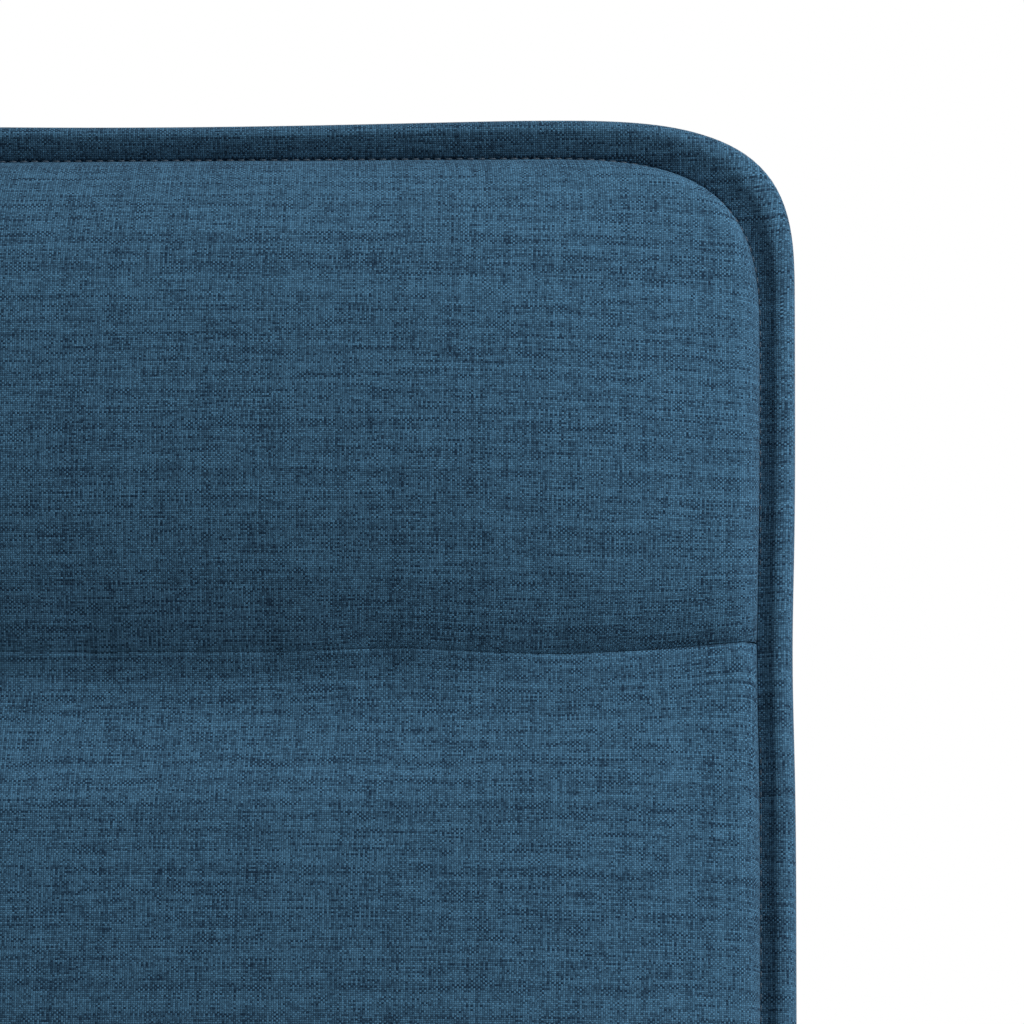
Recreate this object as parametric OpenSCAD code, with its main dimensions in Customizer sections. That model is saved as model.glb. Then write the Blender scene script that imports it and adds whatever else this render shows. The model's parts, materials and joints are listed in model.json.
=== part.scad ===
// A gaming chair: five-star base on twin-wheel casters, gas lift, sprung tilt mechanism, fabric seat
// and reclining fabric back on side hinges, and height-adjustable armrests.
// The origin is on the floor under the gas lift. The chair faces -Y, and +Z is up.

/* [Base] */
// Distance from the gas lift to each caster's swivel axis
base_r = 300; // [270:5:330]
// Diameter of a caster wheel
wheel_d = 56; // [52:1:58]
// Turn of each caster about its own swivel axis, in degrees
caster_turns = [24, -38, 12, 150, -20];

/* [Gas lift] */
// Outer diameter of the gas lift's column tube
column_d = 50; // [48:1:50]
// Diameter of the gas cylinder
cylinder_d = 28; // [26:1:28]

/* [Seat] */
// Width of the seat over its side borders
seat_w = 510; // [480:5:510]
// Depth of the seat from its front border to its rear border
seat_d = 480; // [440:5:500]
// Height of the seat's underside with the gas lift down
seat_z = 357; // [357:1:365]
// Thickness of the border slab that surrounds the seat pad
seat_slab_t = 70; // [60:1:75]
// Height of the seat pad above its border slab
seat_pad_t = 45; // [35:1:50]

/* [Back] */
// Width of the back over its side borders
back_w = 512; // [490:2:512]
// Height of the back's top edge above the recline hinge, along the back
back_top = 778; // [740:2:800]
// Lean of the back behind the vertical at rest, in degrees
back_lean = 8; // [4:1:12]
// Thickness of the border slab that surrounds the back pads
back_slab_t = 66; // [60:1:70]
// How far the back pads stand in front of the border slab
back_pad_t = 44; // [36:1:48]
// Height of the headrest pad
head_h = 202; // [180:2:220]

/* [Arms] */
// Distance from the middle of the chair to the middle of an armrest
arm_x = 305; // [300:1:320]
// Height of an armrest's top above the floor, armrest and gas lift down
arm_top = 664; // [640:1:690]
// Length of an armrest pad
arm_pad_l = 270; // [220:5:280]
// Width of an armrest pad
arm_pad_w = 84; // [70:1:88]

/* [Hidden] */
$fn = 64;

// Clearances and small shared sizes.
run_gap = 0.05;      // radial gap of a shaft that turns or slides in its bore
slide_gap = 0.3;     // gap round a flat sliding piece
plate_t = 4;         // steel brackets and the seat plate
bolt_r = 4;          // M8 bolts
bolt_head_r = 6.5;
bolt_head_h = 5.5;

// Base and casters.
legs = 5;
wheel_r = wheel_d / 2;
wheel_t = 17;                 // width of one wheel
web_t = 15;                   // web of the hood, between the two wheels
wheel_gap = 0.5;              // between the web and a wheel
trail = 18;                   // from the swivel axis to the axle
axle_r = 3;
stem_r = 5.5;
tip_bottom = 63;              // underside of the base at a leg's tip
tip_top = 97;
hub_r = 38;
hub_bottom = 78;
hub_top = 135;
leg_root = 20;                // a leg starts here, inside the hub
leg_root_w = 50;              // width of a leg at its root and at its tip
leg_tip_w = 32;
leg_root_top = hub_top - 9;
leg_arch = 1.25;              // how late a leg's top line falls
leg_wall = 4;
leg_tip_r = 17;               // round boss at a leg's tip
rib_t = 2.6;                  // cross ribs inside a leg
rib_pitch = 45;
socket_roof = 4;              // plastic above a caster's stem
stem_bottom = 32;
stem_collar_r = 8;
stem_collar_t = 1.4;
hood_top = tip_bottom - 1.9;
hood_boss_r = 9.5;            // boss round the stem
axle_boss_r = 11;
fender_r = wheel_r + 1.6;     // inside of the hood's fender
fender_t = 2.6;
wheel_hub_r = 8;
tread_t = 7;
shoulder_r = 2.5;
disc_inset = 3;               // the wheel's disc lies inside its hub and tread
disc_outset = 5;

// Gas lift.
column_r = column_d / 2;
column_wall = 2;
column_bottom = 62;
column_top = 280;
cylinder_r = cylinder_d / 2;
cylinder_bottom = 150;
cylinder_top = seat_z - 24;
column_floor = 4;
guide_len = 65;
guide_lip = 3;
rod_r = 5;
rod_clip_r = 8;               // clip under the column's floor
rod_collar_r = 12;            // collar on top of the thrust bearing
rod_collar_z = column_bottom + 10;
piston_h = 10;
bearing_r = 16;
bearing_t = 5.6;
cylinder_wall = 3;
cylinder_end = 8;             // thickness of the cylinder's lower end
cylinder_head = 16;           // solid head above the gas space
valve_r = 4;
valve_rise = 4;               // the valve pin stands this far out of the cylinder
valve_top = cylinder_top + valve_rise;
cover_wall = 2;
cover_play = 0.6;             // between one telescoping cover and the next
cover_r = column_r + 0.8;     // inner radius of the upper cover, and of the two outside it
cover_mid_r = cover_r + cover_wall + cover_play;
cover_low_r = cover_mid_r + cover_wall + cover_play;

// Tilt mechanism. The housing hangs under the seat plate on one axle.
plate_bottom = seat_z - plate_t;
pivot_y = -45;
pivot_z = seat_z - 23;
pivot_r = 6;
housing_w = 124;
housing_front = -165;
housing_rear = 75;
housing_bottom = seat_z - 55;
housing_h = 37;
housing_wall = 3;
ear_r = 13;                   // ear round the tilt axle
boss_r = 20;
boss_h = 28;
bolt_y = -130;                // the tension bolt, in front of the axle
bolt_pivot_z = seat_z - 14;
bolt_pin_r = 3;               // cross pin of the tension bolt
tension_r = 5;
tension_end = 6;              // hex end below the knob
knob_r = 27;
knob_bottom = seat_z - 135;
knob_h = 30;
knob_flutes = 6;
spring_r = 16;
spring_wire = 2.2;
spring_turns = 5;
lever_x = -48;                // pivot of the height lever
lever_z = seat_z - 35;
lever_len = 214;
lever_rod_r = 4;
lever_pin_r = 3;
lever_paddle = 66;            // length and width of the lever's flat handle
lever_paddle_w = 30;
lever_rise = 3.2;             // the handle climbs this many degrees
plate_w = 200;                // the seat plate, and its reach to the front
plate_front = -175;
plate_d = 270;
plate_bolt_x = 80;
plate_bolt_y = [-150, 70];

// Seat.
seat_rear = 190;
seat_mid = seat_rear - seat_d / 2;
seat_corner = 62;
seat_top = seat_z + seat_slab_t;
board_t = 12;
board_inset = 12;
pad_inset = 16;
pad_gap = 0.3;                // a pad lies this far off its border slab
dust_t = 1.2;
dust_inset = board_inset + 6;
dust_margin = 4;              // the dust cover is cut back this far round the seat plate

// Back, in a frame with its origin at the recline hinge, its Z up along the back and -Y to the front.
hinge_y = 212;
hinge_z = seat_z + 75;
back_bottom = 12;
back_corner = [110, 80];      // size of the top corners, across and along the back
back_power = 3.5;             // their squareness: 2 is an ellipse
back_foot_corner = [42, 42];
slab_front = -8;
slab_rear = slab_front + back_slab_t;
pocket_front = slab_rear - 22;
pocket_wall = 14;
back_board_t = 7.8;
rear_panel_t = 4;
rear_panel_inset = 4;
border = 15;                  // border left showing round the pads
pad_foot_corner = [34, 34];
seam_corner = [6, 6];         // corners of a pad at a seam
pad_seam = 3;                 // gap between two pads
pads_top = back_top - border;
head_bottom = pads_top - head_h;
lumbar_bottom = 52;
lumbar_top = lumbar_bottom + 0.45 * (head_bottom - lumbar_bottom);
pads_front = slab_front - pad_gap - back_pad_t;
tube_r = 6;
tube_y = slab_rear - 7.6;
frame_x = 215;
frame_low = 44;
frame_high = back_top - 46;
frame_bend = 60;
bolt_reach = 0.6;             // the brackets stand this far off the border
back_bolt_heights = [92, 168];

// Recline hinge, on both sides of the chair.
bracket_x = back_w / 2 + bolt_reach;   // inner face of the back's bracket
hinge_x = bracket_x + plate_t + 0.5;
hinge_disc_r = 26;
pin_r = 8;
cover_x = hinge_x + plate_t;
cover_depth = 24;
cover_shell = 2.6;
spring_strip = 1.4;           // the spiral spring's strip
spring_strip_w = 9;
spiral_turns = 3;
spiral_pitch = 4;
recline_y = 148;
recline_z = seat_z + 33;
shaft_r = 5;
recline_lever_t = 9;
recline_lever_len = 88;
hinge_bolt_x = 205;
hinge_bolt_y = [128, 170];

// Armrests.
arm_y = -47;
sleeve_w = 36;
sleeve_d = 62;
sleeve_bottom = seat_z + 36;
sleeve_top = seat_z + 250;
post_w = 22;
post_d = 48;
post_bottom = seat_z + 53;
arm_pad_t = 30;
arm_plate_t = 6;
arm_pad_y = arm_y - 2;
bracket_d = 50;
button_w = 14;
button_h = 22;
button_t = 6;
button_z = sleeve_top - 26;
arm_bolt_x = [165, 215];
arm_bolt_z = [sleeve_bottom + 20, sleeve_bottom + 52];
arm_bracket_t = 5;
arm_bracket_h = 122;
arm_bracket_start = 145;

SIDES = [-1, 1];
MOUNT_BOLTS = concat(
    [for (s = SIDES, y = plate_bolt_y) [s * plate_bolt_x, y]],
    [for (s = SIDES, x = arm_bolt_x) [s * x, arm_y]],
    [for (s = SIDES, y = hinge_bolt_y) [s * hinge_bolt_x, y]]
);

// ---- Helpers -------------------------------------------------------------------------------------

// Points of an arc, from angle a0 to angle a1.
function arc(x, y, r, a0, a1, steps = 8) =
    [for (i = [0:steps]) let (a = a0 + (a1 - a0) * i / steps) [x + r * cos(a), y + r * sin(a)]];

// Points of a superellipse's arc. A power of 2 gives an ellipse, and a higher one a squarer corner.
function super_arc(centre, size, power, a0, steps = 12) = [for (i = [0:steps])
    let (a = a0 + 90 * i / steps, c = cos(a), s = sin(a))
    centre + [size.x * sign(c) * pow(abs(c), 2 / power), size.y * sign(s) * pow(abs(s), 2 / power)]];

// A rectangle from (-w/2, low) to (w/2, high), with one corner size at its top and one at its foot.
module panel(w, low, high, top, foot, power = 2) {
    polygon(concat(
        super_arc([w / 2 - top.x, high - top.y], top, power, 0),
        super_arc([-w / 2 + top.x, high - top.y], top, power, 90),
        super_arc([-w / 2 + foot.x, low + foot.y], foot, 2, 180),
        super_arc([w / 2 - foot.x, low + foot.y], foot, 2, 270)
    ));
}

// Extrudes a (y, z) outline along X, and an (x, z) outline along Y.
module along_x(x0, x1) {
    translate([x0, 0, 0]) rotate([90, 0, 90]) linear_extrude(x1 - x0) children();
}

module along_y(y0, y1) {
    translate([0, y1, 0]) rotate([90, 0, 0]) linear_extrude(y1 - y0) children();
}

module rod_x(x0, x1, r) {
    translate([x0, 0, 0]) rotate([0, 90, 0]) cylinder(h = x1 - x0, r = r);
}

module tube(z0, z1, r_out, r_in) {
    translate([0, 0, z0]) difference() {
        cylinder(h = z1 - z0, r = r_out);
        translate([0, 0, -1]) cylinder(h = z1 - z0 + 2, r = r_in);
    }
}

// Makes the child on the +X side and again, mirrored, on the -X side.
module both_sides() {
    children();
    mirror([1, 0, 0]) children();
}

// Puts a child that is drawn in the back's own frame into place.
module on_back() {
    translate([0, hinge_y, hinge_z]) rotate([-back_lean, 0, 0]) children();
}

// Puts a child drawn at the swivel axis, trailing along +Y, at caster number i from 0.
module at_caster(i) {
    a = -90 + 360 / legs * i;
    translate([base_r * cos(a), base_r * sin(a), 0]) rotate(a - 90 + caster_turns[i]) children();
}

// A closed tube along a list of points, with one ring of sides at each point.
module swept_tube(points, r, sides = 8) {
    n = len(points);
    function along(i) = points[min(i + 1, n - 1)] - points[max(i - 1, 0)];
    function side_of(d) = let (s = cross(d, [0, 0, 1])) s / norm(s);
    function ring(i) = let (d = along(i) / norm(along(i)), u = side_of(d), v = cross(d, u))
        [for (k = [0:sides - 1]) points[i] + r * (cos(360 * k / sides) * u + sin(360 * k / sides) * v)];
    polyhedron(
        points = [for (i = [0:n - 1]) each ring(i)],
        faces = concat(
            [[for (k = [0:sides - 1]) k]],
            [[for (k = [sides - 1:-1:0]) (n - 1) * sides + k]],
            [for (i = [0:n - 2], k = [0:sides - 1])
                [i * sides + k, (i + 1) * sides + k,
                 (i + 1) * sides + (k + 1) % sides, i * sides + (k + 1) % sides]]
        )
    );
}

// ---- Base and casters ----------------------------------------------------------------------------

// Height of a leg's top line at a distance from the lift: a shallow arch that falls to the tip.
function leg_top(r) =
    leg_root_top - (leg_root_top - tip_top) * pow((r - leg_root) / (base_r - leg_root), leg_arch);

module leg_solid(inset, floor_z) {
    steps = 8;
    rs = [for (i = [0:steps]) leg_root + (base_r - leg_root) * i / steps];
    root = leg_root_w / 2 - inset;
    tip = leg_tip_w / 2 - inset;
    intersection() {
        along_y(-leg_root_w, leg_root_w) polygon(concat(
            [[leg_root, floor_z(inset, 0)], [base_r, floor_z(inset, 1)]],
            [for (i = [steps:-1:0]) [rs[i], leg_top(rs[i]) - inset]]
        ));
        linear_extrude(hub_top) polygon([[leg_root, -root], [base_r, -tip], [base_r, tip], [leg_root, root]]);
    }
}

function leg_floor(inset, t) = inset > 0 ? tip_bottom - 10 : (t == 0 ? hub_bottom : tip_bottom + 6);

module leg() {
    cavity_end = base_r - leg_tip_r - 2;
    difference() {
        leg_solid(0, function (inset, t) leg_floor(inset, t));
        difference() {
            leg_solid(leg_wall, function (inset, t) leg_floor(inset, t));
            translate([0, -50, 0]) cube([hub_r + 2, 100, 200]);
            translate([cavity_end, -50, 0]) cube([60, 100, 200]);
            for (r = [2 * rib_pitch:rib_pitch:base_r - 40]) translate([r, -50, 0]) cube([rib_t, 100, 200]);
        }
    }
    translate([base_r, 0, tip_bottom]) cylinder(h = tip_top - tip_bottom, r = leg_tip_r);
}

module base_star() {
    color([0.07, 0.07, 0.075]) difference() {
        union() {
            translate([0, 0, hub_bottom]) cylinder(h = hub_top - hub_bottom, r = hub_r);
            for (i = [0:legs - 1]) rotate(-90 + 360 / legs * i) leg();
        }
        translate([0, 0, hub_bottom - 30]) cylinder(h = 120, r = column_r);
        for (i = [0:legs - 1]) rotate(-90 + 360 / legs * i)
            translate([base_r, 0, tip_bottom - 1])
                cylinder(h = tip_top - tip_bottom + 1 - socket_roof, r = stem_r);
    }
}

module caster_stems() {
    color([0.7, 0.71, 0.72]) for (i = [0:legs - 1]) at_caster(i) {
        translate([0, 0, stem_bottom]) cylinder(h = tip_top - socket_roof - 1 - stem_bottom, r = stem_r);
        translate([0, 0, tip_bottom - stem_collar_t]) cylinder(h = stem_collar_t, r = stem_collar_r);
    }
}

module caster_hood(i) {
    color([0.06, 0.06, 0.065]) at_caster(i) difference() {
        union() {
            along_x(-web_t / 2, web_t / 2) polygon(concat(
                [[-4, 34], [-4, hood_top - 1], [10, hood_top - 1], [20, wheel_r + fender_r + 1]],
                arc(trail, wheel_r, axle_boss_r, 40, -130)
            ));
            translate([0, 0, wheel_r + 6]) cylinder(h = hood_top - wheel_r - 6, r = hood_boss_r);
            translate([0, trail, wheel_r]) rotate([0, 90, 0]) rotate([0, 0, 90]) difference() {
                translate([0, 0, -web_t / 2 - wheel_gap - wheel_t])
                    cylinder(h = web_t + 2 * (wheel_gap + wheel_t), r = fender_r + fender_t);
                translate([0, 0, -60]) cylinder(h = 120, r = fender_r);
                translate([-60, -60, -60]) cube([52, 120, 120]);
                rotate(-42) translate([-60, -120, -60]) cube([120, 98, 120]);
            }
        }
        for (s = SIDES) translate([s * (web_t / 2 + wheel_gap + wheel_t / 2), trail, wheel_r])
            rotate([0, 90, 0]) cylinder(h = wheel_t + 2 * wheel_gap, r = fender_r - 0.4, center = true);
        translate([0, 0, stem_bottom - 1]) cylinder(h = 60, r = stem_r + run_gap);
        translate([0, trail, wheel_r]) rod_x(-30, 30, axle_r + run_gap);
    }
}

module caster_axle(i) {
    reach = web_t / 2 + wheel_gap + wheel_t - 4;
    color([0.7, 0.71, 0.72]) at_caster(i) translate([0, trail, wheel_r]) rod_x(-reach, reach, axle_r);
}

// One wheel's section, as (radius, width): hub, disc and a tread with rounded shoulders.
function wheel_section() = concat(
    [[axle_r, 0], [wheel_hub_r, 0], [wheel_hub_r, disc_inset],
     [wheel_r - tread_t, disc_inset], [wheel_r - tread_t, 0]],
    arc(wheel_r - shoulder_r, shoulder_r, shoulder_r, -90, 0, 5),
    arc(wheel_r - shoulder_r, wheel_t - shoulder_r, shoulder_r, 0, 90, 5),
    [[wheel_r - tread_t, wheel_t], [wheel_r - tread_t, wheel_t - disc_outset],
     [wheel_hub_r, wheel_t - disc_outset], [wheel_hub_r, wheel_t - disc_inset],
     [axle_r, wheel_t - disc_inset]]
);

module caster_wheels(i) {
    color([0.1, 0.1, 0.105]) at_caster(i) translate([0, trail, wheel_r]) both_sides()
        translate([web_t / 2 + wheel_gap, 0, 0]) rotate([0, 90, 0])
            rotate_extrude() polygon(wheel_section());
}

// ---- Gas lift ------------------------------------------------------------------------------------

module column_tube() {
    color([0.05, 0.05, 0.055]) {
        tube(column_bottom + column_floor, column_top, column_r, column_r - column_wall);
        tube(column_bottom, column_bottom + column_floor, column_r, rod_r + run_gap);
    }
}

module guide_bush() {
    color([0.85, 0.85, 0.82]) {
        tube(column_top - guide_len, column_top, column_r - column_wall, cylinder_r + run_gap);
        tube(column_top, column_top + guide_lip, column_r - 0.2, cylinder_r + run_gap);
    }
}

module piston_rod() {
    color([0.75, 0.76, 0.78]) {
        translate([0, 0, column_bottom - 3]) cylinder(h = column_top + 15 - column_bottom, r = rod_r);
        translate([0, 0, column_bottom - 3]) cylinder(h = 2.6, r = rod_clip_r);
        translate([0, 0, rod_collar_z]) cylinder(h = 3, r = rod_collar_r);
        translate([0, 0, column_top + 2]) cylinder(h = piston_h, r = cylinder_r - cylinder_wall - 0.1);
    }
}

module thrust_bearing() {
    top = rod_collar_z - 0.2;
    color([0.6, 0.6, 0.58]) tube(top - bearing_t, top, bearing_r, rod_r + run_gap);
}

module gas_cylinder() {
    gas_bottom = cylinder_bottom + cylinder_end;
    color([0.08, 0.08, 0.085]) difference() {
        translate([0, 0, cylinder_bottom])
            cylinder(h = cylinder_top - cylinder_bottom, r = cylinder_r);
        translate([0, 0, gas_bottom])
            cylinder(h = cylinder_top - cylinder_head - gas_bottom, r = cylinder_r - cylinder_wall);
        translate([0, 0, cylinder_bottom - 1]) cylinder(h = 20, r = rod_r + run_gap);
        translate([0, 0, cylinder_top - 10]) cylinder(h = 20, r = valve_r + run_gap);
    }
}

module valve_pin() {
    color([0.8, 0.15, 0.1]) translate([0, 0, cylinder_top - valve_rise])
        cylinder(h = 2 * valve_rise, r = valve_r);
}

module cover_lower() {
    color([0.06, 0.06, 0.065]) tube(hub_top, hub_top + 90, cover_low_r + cover_wall, cover_low_r);
}

module cover_middle() {
    color([0.06, 0.06, 0.065]) tube(hub_top + 42, hub_top + 136, cover_mid_r + cover_wall, cover_mid_r);
}

module cover_upper() {
    top = housing_bottom - 1.5;
    color([0.06, 0.06, 0.065]) {
        tube(top - 95, top - 3, cover_r + cover_wall, cover_r);
        tube(top - 3, top, cover_r + cover_wall, cylinder_r + 0.02);
    }
}

// ---- Tilt mechanism ------------------------------------------------------------------------------

// Side wall of the housing, as (y, z): an ear round the axle, low behind it to clear the seat plate.
function housing_wall_points() = concat(
    [[housing_front, housing_bottom], [housing_rear, housing_bottom],
     [housing_rear, housing_bottom + 20], [-10, housing_bottom + housing_h]],
    arc(pivot_y, pivot_z, ear_r, 20, 160),
    [[housing_front, housing_bottom + housing_h]]
);

module mech_housing() {
    half = housing_w / 2;
    color([0.05, 0.05, 0.055]) difference() {
        union() {
            translate([-half, housing_front, housing_bottom])
                cube([housing_w, housing_rear - housing_front, housing_wall]);
            translate([-half, housing_front, housing_bottom]) cube([housing_w, housing_wall, housing_h]);
            both_sides() along_x(half - housing_wall, half) polygon(housing_wall_points());
            translate([0, 0, housing_bottom]) cylinder(h = boss_h, r = boss_r);
            for (y = [-12, 9]) along_y(y, y + 3) polygon(concat(
                [[lever_x - 8, housing_bottom + 1], [lever_x + 8, housing_bottom + 1]],
                arc(lever_x, lever_z, 6, 0, 180)
            ));
        }
        translate([0, 0, housing_bottom - 1]) cylinder(h = 60, r = cylinder_r);
        translate([0, bolt_y, housing_bottom - 1]) cylinder(h = 10, r = 11);
        translate([0, pivot_y, pivot_z]) rod_x(-half - 1, half + 1, pivot_r + run_gap);
        translate([lever_x, 0, lever_z]) rotate([90, 0, 0]) 
            cylinder(h = 40, r = lever_pin_r + run_gap, center = true);
        translate([-half - 1, -9, housing_bottom + 4]) cube([housing_wall + 2, 18, 24]);
    }
}

// The height lever turns on its cross pin. Its inner arm lies over the valve pin.
module height_lever() {
    color([0.1, 0.1, 0.105]) {
        along_y(-6, 6) polygon([
            [lever_x, lever_z - 5], [lever_x + 8, lever_z - 5], [lever_x + 24, valve_top - 1.5],
            [-8, valve_top + 0.4], [6, valve_top + 0.4], [6, valve_top + 3], [-26, valve_top + 3],
            [lever_x, lever_z + 5]
        ]);
        translate([lever_x, 0, lever_z]) rotate([90, 0, 0]) cylinder(h = 24, r = lever_pin_r, center = true);
        translate([lever_x, 0, lever_z]) rotate([90, 0, 0]) cylinder(h = 12, r = 6, center = true);
        translate([lever_x, 0, lever_z]) rotate([0, -90 - lever_rise, 0]) {
            cylinder(h = lever_len - 30, r = lever_rod_r);
            translate([-4.5, -lever_paddle_w / 2, lever_len - lever_paddle])
                cube([9, lever_paddle_w, lever_paddle]);
        }
    }
}

module tension_bolt() {
    color([0.7, 0.71, 0.72]) {
        translate([0, bolt_y, bolt_pivot_z]) rod_x(-10, 10, bolt_pin_r);
        translate([0, bolt_y, bolt_pivot_z]) rod_x(-6.5, 6.5, 6.5);
        translate([0, bolt_y, knob_bottom - tension_end]) {
            cylinder(h = bolt_pivot_z - knob_bottom + tension_end, r = tension_r);
            cylinder(h = tension_end - 0.2, r = tension_r + 3, $fn = 6);
        }
    }
}

module tension_spring() {
    per_turn = 14;
    rings = spring_turns * per_turn;
    z0 = knob_bottom + knob_h + spring_wire + 0.2;
    rise = housing_bottom - knob_bottom - knob_h - 2 * spring_wire - 0.4;
    color([0.75, 0.76, 0.78]) translate([0, bolt_y, z0]) swept_tube(
        [for (i = [0:rings]) let (a = 360 * i / per_turn)
            [spring_r * cos(a), spring_r * sin(a), rise * i / rings]],
        spring_wire
    );
}

module tension_knob() {
    color([0.06, 0.06, 0.065]) translate([0, bolt_y, knob_bottom]) difference() {
        cylinder(h = knob_h, r = knob_r);
        for (i = [1:knob_flutes]) rotate(360 / knob_flutes * i)
            translate([knob_r + 9, 0, -1]) cylinder(h = knob_h - 6, r = 14);
        translate([0, 0, -1]) cylinder(h = knob_h + 2, r = tension_r + run_gap);
    }
}

module seat_plate() {
    inner = housing_w / 2 + 0.6;
    color([0.05, 0.05, 0.055]) difference() {
        union() {
            translate([-plate_w / 2, plate_front, plate_bottom]) cube([plate_w, plate_d, plate_t]);
            both_sides() along_x(inner, inner + 3) polygon(concat(
                [[pivot_y + 20, plate_bottom + 1], [pivot_y - 20, plate_bottom + 1]],
                arc(pivot_y, pivot_z, 12, 200, 340)
            ));
            both_sides() along_x(7, 10) polygon(concat(
                [[bolt_y + 10, plate_bottom + 1], [bolt_y - 10, plate_bottom + 1]],
                arc(bolt_y, bolt_pivot_z, 6, 200, 340)
            ));
        }
        translate([0, pivot_y, pivot_z]) rod_x(-80, 80, pivot_r);
        translate([0, bolt_y, bolt_pivot_z]) rod_x(-20, 20, bolt_pin_r + run_gap);
        for (s = SIDES, y = plate_bolt_y)
            translate([s * plate_bolt_x, y, plate_bottom - 1]) cylinder(h = 10, r = bolt_r);
    }
}

module tilt_axle() {
    head = housing_w / 2 + 3.8;
    color([0.75, 0.76, 0.78]) translate([0, pivot_y, pivot_z]) {
        rod_x(-head, head, pivot_r);
        both_sides() rod_x(head, head + 4, pivot_r + 3);
    }
}

// ---- Seat ----------------------------------------------------------------------------------------

module seat_outline(inset) {
    corner = [seat_corner - inset, seat_corner - inset];
    translate([0, seat_mid]) panel(
        seat_w - 2 * inset, -seat_d / 2 + inset, seat_d / 2 - inset, corner, corner
    );
}

module seat_board() {
    color([0.72, 0.55, 0.36]) difference() {
        translate([0, 0, seat_z]) linear_extrude(board_t) seat_outline(board_inset);
        for (p = MOUNT_BOLTS) translate([p.x, p.y, seat_z - 1]) cylinder(h = 30, r = bolt_r);
    }
}

module seat_rim() {
    color([0.14, 0.24, 0.32]) difference() {
        translate([0, 0, seat_z]) linear_extrude(seat_slab_t) seat_outline(0);
        translate([0, 0, seat_z - 1]) linear_extrude(board_t + 1.3) seat_outline(board_inset - 0.3);
    }
}

module seat_pad() {
    color([0.18, 0.3, 0.39]) translate([0, 0, seat_top + pad_gap]) linear_extrude(seat_pad_t)
        seat_outline(pad_inset);
}

module seat_dust_cover() {
    arm_cut = bracket_d / 2 + 3;
    color([0.05, 0.05, 0.05]) translate([0, 0, seat_z - dust_t - 0.1]) linear_extrude(dust_t) difference() {
        seat_outline(dust_inset);
        translate([-plate_w / 2 - dust_margin, plate_front - dust_margin])
            square([plate_w + 2 * dust_margin, plate_d + 2 * dust_margin]);
        for (s = SIDES) translate([s * 200 - 60, arm_y - arm_cut]) square([120, 2 * arm_cut]);
        for (s = SIDES) translate([s * 220 - 50, 106]) square([100, 84]);
    }
}

// Hex bolts that hold the seat plate, the arm brackets and the hinge plates under the board, and the
// two that hold each arm sleeve.
module frame_bolts() {
    color([0.6, 0.6, 0.6]) {
        for (p = MOUNT_BOLTS) translate([p.x, p.y, plate_bottom]) {
            cylinder(h = board_t + plate_t - 1, r = bolt_r);
            translate([0, 0, -bolt_head_h]) cylinder(h = bolt_head_h, r = bolt_head_r, $fn = 6);
        }
        both_sides() for (z = arm_bolt_z)
            translate([arm_x - sleeve_w / 2 - arm_bracket_t, arm_y, z]) {
                rod_x(0, 10, bolt_r);
                translate([-bolt_head_h, 0, 0]) rotate([0, 90, 0])
                    cylinder(h = bolt_head_h, r = bolt_head_r, $fn = 6);
            }
    }
}

// ---- Armrests ------------------------------------------------------------------------------------

module arm_brackets() {
    outer = arm_x - sleeve_w / 2;
    color([0.05, 0.05, 0.055]) both_sides() difference() {
        union() {
            translate([arm_bracket_start, arm_y - bracket_d / 2, plate_bottom])
                cube([outer - arm_bracket_start, bracket_d, plate_t]);
            translate([outer - arm_bracket_t, arm_y - bracket_d / 2, plate_bottom])
                cube([arm_bracket_t, bracket_d, arm_bracket_h]);
        }
        for (x = arm_bolt_x) translate([x, arm_y, plate_bottom - 1]) cylinder(h = 10, r = bolt_r);
        for (z = arm_bolt_z) translate([outer - 10, arm_y, z]) rod_x(0, 20, bolt_r);
    }
}

module arm_sleeve() {
    difference() {
        translate([arm_x, arm_y, sleeve_bottom]) linear_extrude(sleeve_top - sleeve_bottom)
            panel(sleeve_w, -sleeve_d / 2, sleeve_d / 2, [10, 10], [10, 10]);
        translate([arm_x - post_w / 2, arm_y - post_d / 2, sleeve_bottom + 8]) cube([post_w, post_d, 300]);
        for (z = arm_bolt_z) translate([arm_x - sleeve_w / 2 - 1, arm_y, z]) rod_x(0, 6.2, bolt_r);
        translate([arm_x + post_w / 2 - 1, arm_y, button_z]) translate([0, -button_w / 2, -button_h / 2])
            translate([0, -slide_gap, -slide_gap])
                cube([20, button_w + 2 * slide_gap, button_h + 2 * slide_gap]);
    }
}

module arm_sleeves() {
    color([0.07, 0.07, 0.075]) both_sides() arm_sleeve();
}

module arm_post() {
    plate_z = arm_top - arm_pad_t - arm_plate_t;
    color([0.06, 0.06, 0.065]) {
        translate([arm_x - post_w / 2 + slide_gap, arm_y - post_d / 2 + slide_gap, post_bottom])
            cube([post_w - 2 * slide_gap, post_d - 2 * slide_gap, plate_z + 1 - post_bottom]);
        translate([arm_x, arm_pad_y, plate_z]) linear_extrude(arm_plate_t)
            panel(58, -80, 80, [12, 12], [12, 12]);
    }
}

module arm_pad() {
    color([0.05, 0.05, 0.055]) translate([arm_x, arm_pad_y, arm_top - arm_pad_t]) linear_extrude(arm_pad_t)
        panel(arm_pad_w, -arm_pad_l / 2, arm_pad_l / 2, [30, 30], [30, 30]);
}

module arm_button() {
    color([0.2, 0.2, 0.21]) translate([arm_x + post_w / 2 + 4, arm_y - button_w / 2, button_z - button_h / 2])
        cube([button_t, button_w, button_h]);
}

// ---- Recline hinge -------------------------------------------------------------------------------

// Side plate, as (y, z): from the seat's rear corner up and back to a disc round the hinge pin.
function hinge_plate_points() = concat(
    [[112, plate_bottom], [184, plate_bottom], [200, seat_z + 22]],
    arc(hinge_y, hinge_z, hinge_disc_r, -50, 175, 16),
    [[hinge_y - 50, seat_z + 52], [118, seat_z + 42]]
);

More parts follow.
